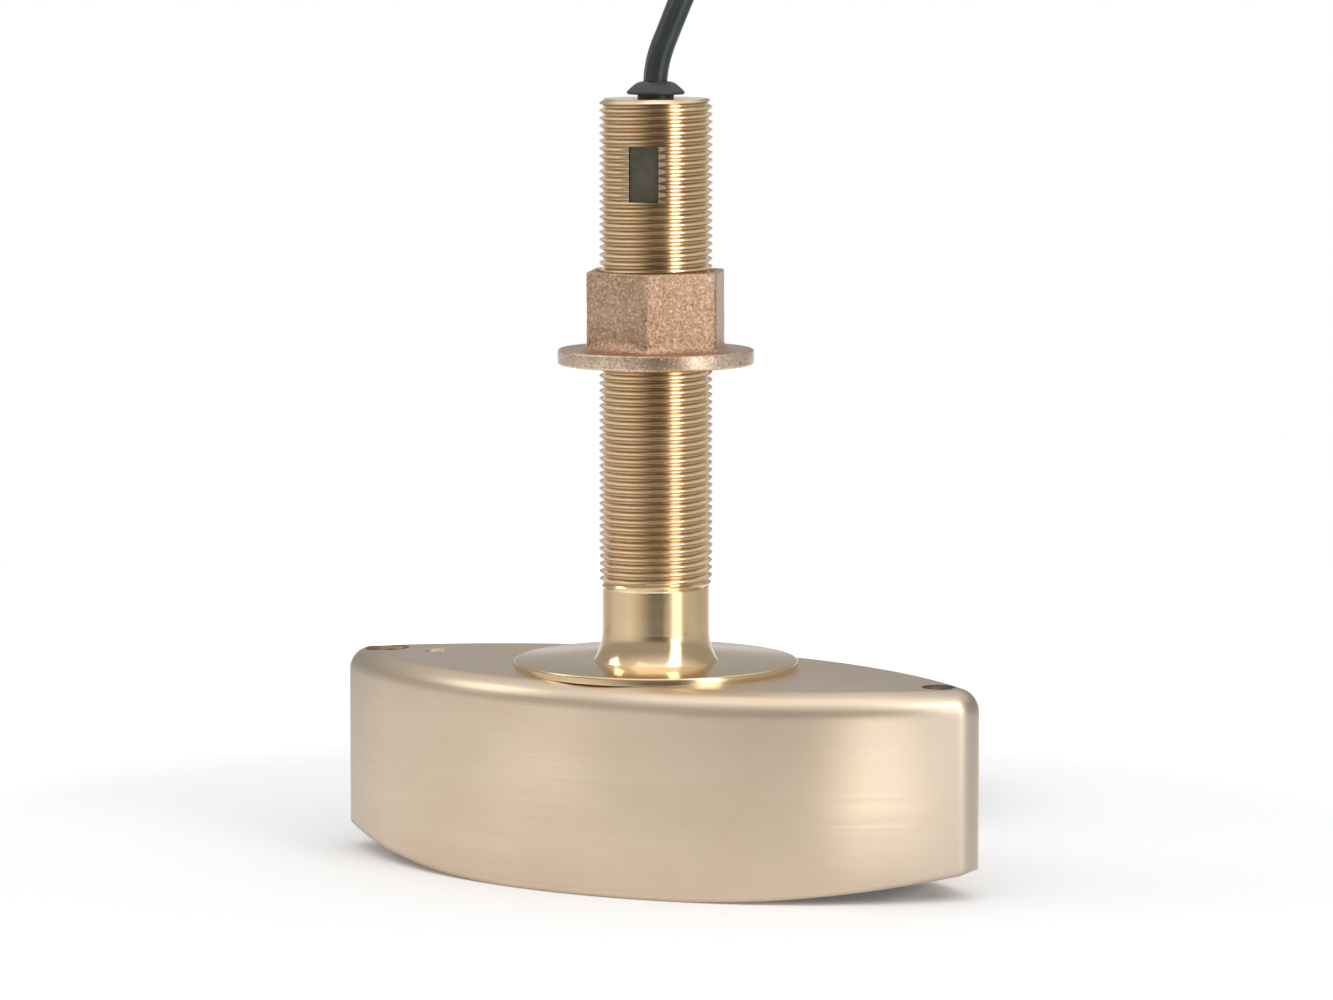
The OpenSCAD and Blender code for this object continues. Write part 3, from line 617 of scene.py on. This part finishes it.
def make_plug_shell(place, heading):
    """The plug's steel coupling, with a knurled grip. The rows say where the knurl is."""
    columns = 144
    top, end = PLUG_BODY_TOP, PLUG_BODY_TOP + PLUG_SHELL
    bore_r, edge_r = PLUG_SHELL_R - PLUG_SHELL_WALL, PLUG_SHELL_R - PLUG_SHELL_EDGE
    rows = [(bore_r, top, 0), (edge_r, top, 0), (KNURL_R, top + KNURL_FOOT, 0)]
    rows += [(KNURL_R, top + rise, 1) for rise in KNURL_ROWS]
    rows += [(KNURL_R, end - KNURL_END, 0), (PLUG_SHELL_R, end - PLUG_SHELL_COLLAR, 0)]
    rows += [(PLUG_SHELL_R, end - PLUG_SHELL_EDGE, 0), (edge_r, end, 0), (bore_r, end, 0)]
    points = []
    for r, z, knurl in rows:
        for j, t in enumerate(turns_of(columns)):
            edge = r + knurl * (KNURL_OUT if j % KNURL_PERIOD < KNURL_PERIOD / 2 else -KNURL_IN)
            points.append((edge * math.cos(t), edge * math.sin(t), z))
    shell = ring_object("plug_coupling", points, columns, BODY, smooth_angle=30)
    laid_at(shell, place, heading)
    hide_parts("plug_shell")
    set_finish(shell, "steel")
    return shell


# Materials, with the scale of their textures per metre
BRUSH_ALONG = 14
BRUSH_ACROSS = 2600
TURNING_MARKS = 5200
FACING_UP = (0.6, 0.95)
BEVEL_SAMPLES = 6
SEAM_EASE = 2.5 * MM
# Painted shade: its reach in from the housing's tips, and the soft edge of the shaded mouths of its holes
TIP_SHADE = 24 * MM
MOUTH_EDGE = 0.15 * MM
# Radii over which the thread's roots, darkened with painted shade and oxide, turn to the bright crests
THREAD_ROOT_OXIDE_AND_SHADE = (THREAD_ROOT_R + 0.1 * MM, THREAD_ROOT_R + 0.75 * MM)
NUT_SCAR = (15.9 * MM, -23 * MM)
NUT_SCAR_R = 3 * MM
NUT_SCAR_EDGE = 6 * MM
NUT_RIM_BAND = 0.5 * MM
NUT_RIM_EDGE = 0.2 * MM


class Nodes:
    """A node tree, with short calls for the nodes used here."""

    def __init__(self, tree):
        self.nodes = tree.nodes
        self.links = tree.links

    def put(self, value, socket):
        """Links an output, or sets a plain value."""
        if isinstance(value, bpy.types.NodeSocket):
            self.links.new(value, socket)
        else:
            socket.default_value = value

    def node(self, kind, inputs=None, **settings):
        """A new node, with its settings made and its inputs linked or set."""
        made = self.nodes.new("ShaderNode" + kind)
        for name, value in settings.items():
            setattr(made, name, value)
        for name, value in (inputs or {}).items():
            self.put(value, made.inputs[name])
        return made

    def parts(self, vector):
        """The X, Y and Z of a vector."""
        return self.node("SeparateXYZ", {"Vector": vector}).outputs

    def math(self, operation, a, b=0.0):
        return self.node("Math", {0: a, 1: b}, operation=operation).outputs[0]

    def vector_math(self, operation, *values):
        return self.node("VectorMath", dict(enumerate(values)), operation=operation).outputs

    def spread(self, value, low, high, from_low=0.3, from_high=0.7, curve="LINEAR"):
        """A value, stretched to run between two numbers. The range it comes from suits a noise."""
        inputs = {"Value": value, "From Min": from_low, "From Max": from_high, "To Min": low, "To Max": high}
        return self.node("MapRange", inputs, interpolation_type=curve).outputs["Result"]

    def mix(self, factor, a, b, kind="RGBA"):
        """Between two colours, or between two numbers where the kind is FLOAT, by a factor."""
        return self.node("Mix", {"Factor": factor, "A": a, "B": b}, data_type=kind).outputs["Result"]


class Paint(Nodes):
    """A material, with short calls for textures on the piece's own coordinates."""

    def __init__(self, name):
        self.material = bpy.data.materials.new(name)
        self.material.use_nodes = True
        super().__init__(self.material.node_tree)
        self.shader = self.nodes["Principled BSDF"]

    def set(self, **values):
        """Sets or links the shader's own sockets, named with _ for a space."""
        for name, value in values.items():
            self.put(value, self.shader.inputs[name.replace("_", " ")])
        return self

    def here(self):
        """Object coordinates."""
        return self.node("TexCoord").outputs["Object"]

    def scaled(self, *scale):
        """Object coordinates, scaled by one number, or along X, Y and Z."""
        scale = scale * 3 if len(scale) == 1 else scale
        return self.node("Mapping", {"Scale": scale, "Vector": self.here()}).outputs["Vector"]

    def noise(self, *scale, detail=3.0, roughness=0.55, vector=None):
        """A noise on scaled object coordinates, or on a vector of its own."""
        where = vector or self.scaled(*scale)
        inputs = {"Scale": 1.0, "Detail": detail, "Roughness": roughness, "Vector": where}
        return self.node("TexNoise", inputs).outputs["Fac"]

    def tones(self, value, dark, light):
        """Two colours, mixed by a noise."""
        return self.mix(self.spread(value, 0, 1), dark, light)

    def bump(self, height, distance, strength=1.0, eased=0.0):
        """Relief from a height, on a surface whose edges may be eased over a radius."""
        inputs = {"Strength": strength, "Distance": distance, "Height": height}
        if eased:
            inputs["Normal"] = self.node("Bevel", {"Radius": eased}, samples=BEVEL_SAMPLES).outputs["Normal"]
        self.set(Normal=self.node("Bump", inputs).outputs["Normal"])

    def facing_up(self):
        """1 where the surface faces up or down, 0 on a wall."""
        normal = self.parts(self.node("NewGeometry").outputs["Normal"])
        return self.spread(self.math("ABSOLUTE", normal["Z"]), 0, 1, *FACING_UP)

    def near(self, x, y, radius, edge):
        """1 within a radius of an upright axis at X and Y, 0 outside it."""
        flat = self.vector_math("MULTIPLY_ADD", self.here(), (1, 1, 0), (-x, -y, 0))["Vector"]
        return self.spread(self.vector_math("LENGTH", flat)["Value"], 1, 0, radius, radius + edge)

    def from_axis(self, where):
        """Distance from the Z axis of a point that is given by its parts."""
        squares = [self.math("POWER", where[axis], 2.0) for axis in "XY"]
        return self.math("SQRT", self.math("ADD", *squares))

    def rings(self, per_metre):
        """Coordinates that change with the distance from the Z axis and with height: turning marks."""
        where = self.parts(self.here())
        across = self.math("MULTIPLY", self.from_axis(where), per_metre)
        up = self.math("MULTIPLY", where["Z"], per_metre)
        return self.node("CombineXYZ", {"X": across, "Y": up}).outputs["Vector"]


def colour(r, g, b):
    """An opaque colour."""
    return (r, g, b, 1.0)


def brushed_bronze():
    """Satin cast bronze, brushed along its walls and its top, with painted shade at its tips and in the
    holes' mouths.
    """
    paint = Paint("brushed_bronze").set(Metallic=1.0, Anisotropic=0.35, Anisotropic_Rotation=0.25)
    wall = paint.noise(BRUSH_ALONG, BRUSH_ALONG, BRUSH_ACROSS, detail=4.0)
    top = paint.noise(BRUSH_ALONG, BRUSH_ACROSS, BRUSH_ALONG, detail=4.0)
    lines = paint.mix(paint.facing_up(), wall, top, "FLOAT")
    along = paint.math("ABSOLUTE", paint.parts(paint.here())["X"])
    # Painted shade: the housing's colour darkens towards its tips
    tip = paint.spread(along, 0, 0.8, housing_high.x - TIP_SHADE, housing_high.x)
    # Painted shade in the mouths of the tapped holes
    left_mouth_shade = paint.near(-TAP_X, 0, TAP_LEFT_R + TAP_BEVEL, MOUTH_EDGE)
    right_mouth_shade = paint.near(TAP_X, 0, TAP_RIGHT_R + TAP_BEVEL, MOUTH_EDGE)
    shown = paint.tones(paint.noise(26, 26, 60), colour(0.695, 0.555, 0.41), colour(0.745, 0.605, 0.46))
    shown = paint.mix(paint.spread(lines, 0.0, 0.16), shown, colour(0.55, 0.44, 0.33))
    shown = paint.mix(tip, shown, colour(0.51, 0.435, 0.355))
    shown = paint.mix(left_mouth_shade, shown, colour(0.30, 0.20, 0.11))
    shown = paint.mix(right_mouth_shade, shown, colour(0.12, 0.095, 0.08))
    paint.set(Base_Color=shown, Roughness=paint.spread(lines, 0.30, 0.40))
    paint.bump(lines, 0.012 * MM, strength=0.5, eased=SEAM_EASE)
    return paint.material


def turned_bronze():
    """Golden bronze, turned on a lathe: fine rings on faces and fine lines round the shank."""
    paint = Paint("turned_bronze").set(Metallic=1.0)
    marks = paint.noise(vector=paint.rings(TURNING_MARKS))
    tone = paint.tones(paint.noise(40, 40, 90), colour(0.80, 0.59, 0.34), colour(0.85, 0.65, 0.41))
    shown = paint.mix(paint.spread(marks, 0, 0.14), tone, colour(0.55, 0.36, 0.15))
    paint.set(Base_Color=shown, Roughness=paint.spread(marks, 0.12, 0.18))
    paint.bump(marks, 0.008 * MM, strength=0.5)
    return paint.material


def threaded_bronze():
    """The stem's thread: bright crests over darker roots, with painted shade and oxide in the grooves."""
    paint = Paint("threaded_bronze").set(Metallic=1.0)
    # Darker towards the roots: painted shade in the grooves, and oxide
    rise = paint.spread(paint.from_axis(paint.parts(paint.here())), 0, 1, *THREAD_ROOT_OXIDE_AND_SHADE)
    cloud = paint.noise(60, 60, 140)
    crest = paint.tones(cloud, colour(0.86, 0.70, 0.475), colour(0.92, 0.77, 0.56))
    shown = paint.mix(rise, colour(0.66, 0.49, 0.31), crest)
    paint.set(Base_Color=shown, Roughness=paint.spread(cloud, 0.16, 0.22))
    return paint.material


def tapped_bronze():
    """Thread in a blind hole: dull, and darkened as painted shade inside the hole."""
    paint = Paint("tapped_bronze").set(Metallic=1.0)
    spots = paint.noise(900, detail=4.0)
    # Painted shade: the thread's colours are darkened as the inside of a blind hole
    shown = paint.tones(spots, colour(0.13, 0.095, 0.065), colour(0.30, 0.205, 0.12))
    paint.set(Base_Color=shown, Roughness=paint.spread(spots, 0.35, 0.5))
    return paint.material


def cast_bronze():
    """Sand-cast bronze: grainy, with bright flecks of painted glint and dark pits, and a paler rim, worn at
    one place.
    """
    paint = Paint("cast_bronze").set(Metallic=1.0)
    grain = paint.noise(1250, detail=4.0, roughness=0.65)
    fine = paint.noise(2600, detail=2.0)
    patch = paint.noise(110)
    tone = paint.tones(patch, colour(0.50, 0.305, 0.19), colour(0.59, 0.385, 0.255))
    rim = paint.mix(paint.spread(patch, 0, 1, 0.34, 0.46), colour(0.55, 0.40, 0.28), colour(0.75, 0.59, 0.44))
    scar = paint.near(*NUT_SCAR, NUT_SCAR_R, NUT_SCAR_EDGE)
    worn = paint.math("MULTIPLY", scar, paint.spread(grain, 0.2, 1, 0.40, 0.50))
    rim = paint.mix(worn, rim, colour(0.28, 0.18, 0.11))
    inside = paint.near(0, 0, NUT_FLANGE_R - NUT_RIM_BAND, NUT_RIM_EDGE)
    # Painted glints: bright whitish flecks in the grain
    glint_flecks = paint.spread(grain, 0, 0.75, 0.52, 0.65)
    pits = paint.spread(grain, 0.8, 0.0, 0.34, 0.47)
    shown = paint.mix(inside, rim, tone)
    shown = paint.mix(glint_flecks, shown, colour(0.88, 0.69, 0.54))
    shown = paint.mix(pits, shown, colour(0.28, 0.16, 0.09))
    paint.set(Base_Color=shown, Roughness=paint.spread(fine, 0.42, 0.22))
    paint.bump(paint.math("MULTIPLY", grain, paint.spread(inside, 0.4, 1, 0, 1)), 0.40 * MM)
    return paint.material


def rubber(name, dark, light, roughness):
    """Moulded or extruded rubber with a faint bloom."""
    paint = Paint(name).set(Specular_IOR_Level=0.5)
    shown = paint.tones(paint.noise(180, detail=4.0), colour(*dark), colour(*light))
    fine = paint.noise(2400, detail=2.0)
    paint.set(Base_Color=shown, Roughness=paint.spread(fine, roughness - 0.05, roughness + 0.07))
    paint.bump(fine, 0.03 * MM, strength=0.35)
    return paint.material


def compound(name, dark, light, roughness, grain, metallic=0.0):
    """Cast, pressed or fired stuff: two tones in a grain of its own size, in millimetres."""
    paint = Paint(name).set(Metallic=metallic)
    spots = paint.noise(1 / (grain * MM), detail=4.0)
    shown = paint.tones(spots, colour(*dark), colour(*light))
    paint.set(Base_Color=shown, Roughness=paint.spread(spots, roughness - 0.06, roughness + 0.08))
    paint.bump(spots, 0.02 * grain * MM, strength=0.4)
    return paint.material


def woven_strap():
    """Woven webbing: crossed ribs, and a little lint."""
    paint = Paint("woven_strap").set(Specular_IOR_Level=0.25)
    ribs = paint.noise(1400, 1400, 300, detail=2.0)
    shown = paint.tones(ribs, colour(0.012, 0.012, 0.013), colour(0.04, 0.04, 0.042))
    paint.set(Base_Color=shown, Roughness=paint.spread(ribs, 0.7, 0.9))
    paint.bump(ribs, 0.2 * MM, strength=0.6)
    return paint.material


# Material slots of rubber: darker and lighter tone, and roughness
RUBBERS = {
    "grey_rubber": ((0.030, 0.034, 0.037), (0.045, 0.050, 0.053), 0.42),
    "cable_jacket": ((0.020, 0.025, 0.025), (0.032, 0.038, 0.038), 0.36),
}

# Material slots of a compound: darker and lighter tone, roughness, grain in millimetres, and 1 for a metal
COMPOUNDS = {
    "window_urethane": ((0.012, 0.015, 0.02), (0.02, 0.024, 0.03), 0.4, 6),
    "piezo_ceramic": ((0.68, 0.62, 0.48), (0.76, 0.71, 0.58), 0.5, 1.5),
    "cork": ((0.30, 0.17, 0.08), (0.48, 0.30, 0.16), 0.85, 1.2),
    "board": ((0.01, 0.09, 0.03), (0.015, 0.13, 0.045), 0.4, 2),
    "ferrite": ((0.02, 0.02, 0.022), (0.035, 0.035, 0.037), 0.6, 0.8),
    "enamelled_copper": ((0.42, 0.14, 0.05), (0.55, 0.22, 0.09), 0.3, 0.6, 1.0),
    "steel": ((0.50, 0.51, 0.52), (0.62, 0.63, 0.64), 0.28, 0.9, 1.0),
    "red_wire": ((0.36, 0.012, 0.01), (0.45, 0.02, 0.015), 0.4, 1),
    "white_wire": ((0.66, 0.66, 0.62), (0.75, 0.75, 0.71), 0.4, 1),
    "yellow_wire": ((0.58, 0.35, 0.02), (0.68, 0.42, 0.03), 0.4, 1),
    "potting": ((0.060, 0.056, 0.036), (0.086, 0.081, 0.055), 0.5, 3),
    "black_plastic": ((0.012, 0.012, 0.012), (0.02, 0.02, 0.02), 0.45, 1.5),
    "contact_brass": ((0.70, 0.48, 0.16), (0.82, 0.60, 0.24), 0.25, 0.8, 1.0),
}


def slot_materials():
    """One material for each of the record's material slots."""
    materials = {
        "housing_bronze": brushed_bronze(),
        "stem_bronze": turned_bronze(),
        "nut_bronze": cast_bronze(),
        "tie_strap": woven_strap(),
    }
    for name, values in RUBBERS.items():
        materials[name] = rubber(name, *values)
    for name, values in COMPOUNDS.items():
        materials[name] = compound(name, *values)
    return materials


def dress(pieces):
    """Gives every shown CAD node and every made piece the material of its slot."""
    materials = slot_materials()
    slots = {s["node"]: s["material_slot"] for s in frame["record"]["subparts"]}
    for node, piece in frame["nodes"].items():
        piece.data.materials.clear()
        piece.data.materials.append(materials[slots[node]])
    for piece in pieces:
        piece.data.materials.clear()
        piece.data.materials.append(materials[piece["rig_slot"]])


def dress_threads(stem, bushes):
    """The thread's own materials: on the stem's threaded length, and in the tapped holes."""
    stem.data.materials.append(threaded_bronze())
    for face in stem.data.polygons:
        outside = math.hypot(face.center.x, face.center.y) > THREAD_SKIN_R
        face.material_index = int(outside and THREAD_LOW < face.center.z < STEM_TOP - THREAD_TOP_RIM)
    dull = tapped_bronze()
    for bush in bushes:
        bush.data.materials.clear()
        bush.data.materials.append(dull)


# Camera: its turn round the stem, its place, what it looks at, and its lens
CAMERA_TURN = math.radians(27.6)
CAMERA_BACK = 1.5
CAMERA_UP = 0.2696
AIM_SIDE = 0.003
AIM_UP = 0.1052
LENS = 145.1
SENSOR = 36
FAR_CLIP = 100

# Lamps: place as the camera sees it, size, watts, and a turn for a card that lies on the floor
LAMP_AIM = (0, 0, 0.08)
LAMPS = [
    ("key_strip", (0.82, -0.88, 0.62), (0.46, 1.3), 5.4, None),
    ("overhead", (0, -0.5, 1.45), (1.8, 1.2), 3.5, None),
    ("rim_strip", (-0.95, 0.1, 0.75), (0.36, 0.42), 1.2, None),
    ("right_card", (0.12, -0.26, 0.002), (0.07, 0.28), 0.10, 15),
    ("left_card", (-0.233, -0.124, 0.002), (0.10, 0.28), 0.022, -62),
]

# Floor: size, tone, its glow to the camera from the middle out, and its glow and its end in reflections
FLOOR_R = 0.75
FLOOR_SIDES = 96
FLOOR_DROP = 0.2 * MM
FLOOR_TONE = 0.92
FLOOR_GLOW = (0.10, 1.0)
FLOOR_GLOW_REACH = (0.22, 0.7)
FLOOR_MIRRORED_GLOW = 0.10
FLOOR_MIRRORED_END = (0.38, 0.50)

# Studio round the part, at its own height: degrees to the right of the camera's side, and brightness
STUDIO = [
    (-180, 1.0), (-160, 0.95), (-140, 0.55), (-120, 0.55), (-106, 0.68), (-90, 0.75), (-60, 0.82),
    (-47, 0.72), (-31, 0.48), (-20, 0.28), (-8, 0.12), (15, 0.10), (24, 0.18), (33, 0.80), (39, 2.0),
    (54, 1.9), (61, 0.62), (85, 0.60), (110, 0.52), (140, 0.55), (160, 0.95), (180, 1.0),
]

# Studio over the part: brightness, and the heights over which it comes in, as the sine of elevation
STUDIO_ABOVE = 0.40
STUDIO_ABOVE_FROM = (0, 0.12)
STUDIO_CEILING = 0.9
STUDIO_CEILING_FROM = (0.40, 0.78)


def seen_from_camera(side, back, up):
    """A point given as the camera sees it: to the right, away, up."""
    return turned(CAMERA_TURN, side, back, up)


def make_camera():
    """The camera at the photograph's viewing angle."""
    lens = bpy.data.cameras.new("camera")
    lens.sensor_width = SENSOR
    lens.lens = LENS
    lens.clip_end = FAR_CLIP
    camera = bpy.data.objects.new("camera", lens)
    camera.location = seen_from_camera(0, -CAMERA_BACK, CAMERA_UP)
    aim = seen_from_camera(AIM_SIDE, 0, AIM_UP) - camera.location
    camera.rotation_euler = aim.to_track_quat("-Z", "Y").to_euler()
    bpy.context.scene.collection.objects.link(camera)
    bpy.context.scene.camera = camera


def make_lamp(name, place, size, power, card_turn):
    """A soft box that looks at the part, or a card on the floor, turned to the right of the camera's line."""
    lamp = bpy.data.lights.new(name, "AREA")
    lamp.shape = "RECTANGLE"
    lamp.size, lamp.size_y = size
    lamp.energy = power
    holder = bpy.data.objects.new(name, lamp)
    spot = seen_from_camera(*place)
    holder.location = spot
    if card_turn is None:
        holder.rotation_euler = (Vector(LAMP_AIM) - spot).to_track_quat("-Z", "Y").to_euler()
    else:
        holder.rotation_euler = (math.pi, 0, CAMERA_TURN + math.radians(card_turn))
    holder.visible_camera = False
    bpy.context.scene.collection.objects.link(holder)


def floor_paper():
    """White paper that fades into the white background at its edge. In reflections it ends sooner."""
    paint = Paint("floor_paper").set(Base_Color=colour(FLOOR_TONE, FLOOR_TONE, FLOOR_TONE), Roughness=0.9)
    paint.set(Specular_IOR_Level=0.1, Emission_Color=colour(1, 1, 1))
    path = paint.node("LightPath").outputs
    away = paint.vector_math("LENGTH", paint.here())["Value"]
    seen = paint.math("MULTIPLY", path["Is Camera Ray"], paint.spread(away, *FLOOR_GLOW, *FLOOR_GLOW_REACH))
    mirrored = paint.math("MAXIMUM", path["Is Glossy Ray"], path["Is Transmission Ray"])
    glow = paint.math("ADD", seen, paint.math("MULTIPLY", mirrored, FLOOR_MIRRORED_GLOW))
    paint.set(Emission_Strength=glow)
    gone = paint.math("MULTIPLY", mirrored, paint.spread(away, 0, 1, *FLOOR_MIRRORED_END))
    clear = paint.node("BsdfTransparent")
    soft = paint.node("MixShader", {0: gone, 1: paint.shader.outputs[0], 2: clear.outputs[0]})
    paint.put(soft.outputs[0], paint.nodes["Material Output"].inputs["Surface"])
    return paint.material


def make_floor():
    """A round sheet of paper under the part."""
    mesh = bpy.data.meshes.new("floor")
    mesh.from_pydata(around([(FLOOR_R, 0)], FLOOR_SIDES)[:-1], [], [tuple(range(FLOOR_SIDES))])
    floor = bpy.data.objects.new("floor", mesh)
    floor.location.z = -FLOOR_DROP
    bpy.context.scene.collection.objects.link(floor)
    floor.data.materials.append(floor_paper())


def make_world():
    """White to the camera and through clear stuff. In reflections and as light, a soft studio."""
    world = bpy.data.worlds.new("studio")
    bpy.context.scene.world = world
    world.use_nodes = True
    sky = Nodes(world.node_tree)
    where = sky.node("TexCoord").outputs["Generated"]
    axes = (seen_from_camera(1, 0, 0), seen_from_camera(0, -1, 0))
    azimuth = sky.math("ARCTAN2", *(sky.vector_math("DOT_PRODUCT", where, axis)["Value"] for axis in axes))
    level = sky.node("ValToRGB", {"Fac": sky.spread(azimuth, 0, 1, -math.pi, math.pi)})
    stops = level.color_ramp.elements
    while len(stops) < len(STUDIO):
        stops.new(1.0)
    for stop, (degrees, bright) in zip(stops, STUDIO):
        stop.position = (degrees + 180) / 360
        stop.color = colour(bright, bright, bright)
    height = sky.parts(where)["Z"]
    above = sky.spread(height, 0, 1, *STUDIO_ABOVE_FROM, "SMOOTHSTEP")
    ceiling = sky.spread(height, STUDIO_ABOVE, STUDIO_CEILING, *STUDIO_CEILING_FROM, "SMOOTHSTEP")
    studio = sky.mix(above, level.outputs["Color"], ceiling, "FLOAT")
    path = sky.node("LightPath").outputs
    clear = sky.math("MAXIMUM", path["Is Camera Ray"], path["Is Transmission Ray"])
    background = sky.nodes["Background"]
    sky.put(sky.mix(clear, studio, 1.0, "FLOAT"), background.inputs["Strength"])
    sky.put(colour(1, 1, 1), background.inputs["Color"])


# The camera, the part, its looks, its stage and its light
make_camera()
stem = make_stem()
nut = make_nut()
grommet = make_grommet()
cable, cable_end, cable_heading = make_cable()
ties = [make_tie(number, angle) for number, angle in enumerate(TIE_ANGLES, 1)]
plug_moulding = make_plug_body(cable_end, cable_heading)
plug_coupling = make_plug_shell(cable_end, cable_heading)
tapped_holes = [
    make_tapped_hole("tip_thread_left", -TAP_X, TAP_LEFT_R),
    make_tapped_hole("tip_thread_right", TAP_X, TAP_RIGHT_R),
]
dress([stem, nut, grommet, cable, *ties, plug_moulding, plug_coupling])
dress_threads(stem, tapped_holes)
make_floor()
make_world()
for lamp in LAMPS:
    make_lamp(*lamp)
bpy.context.scene.view_settings.view_transform = "Standard"
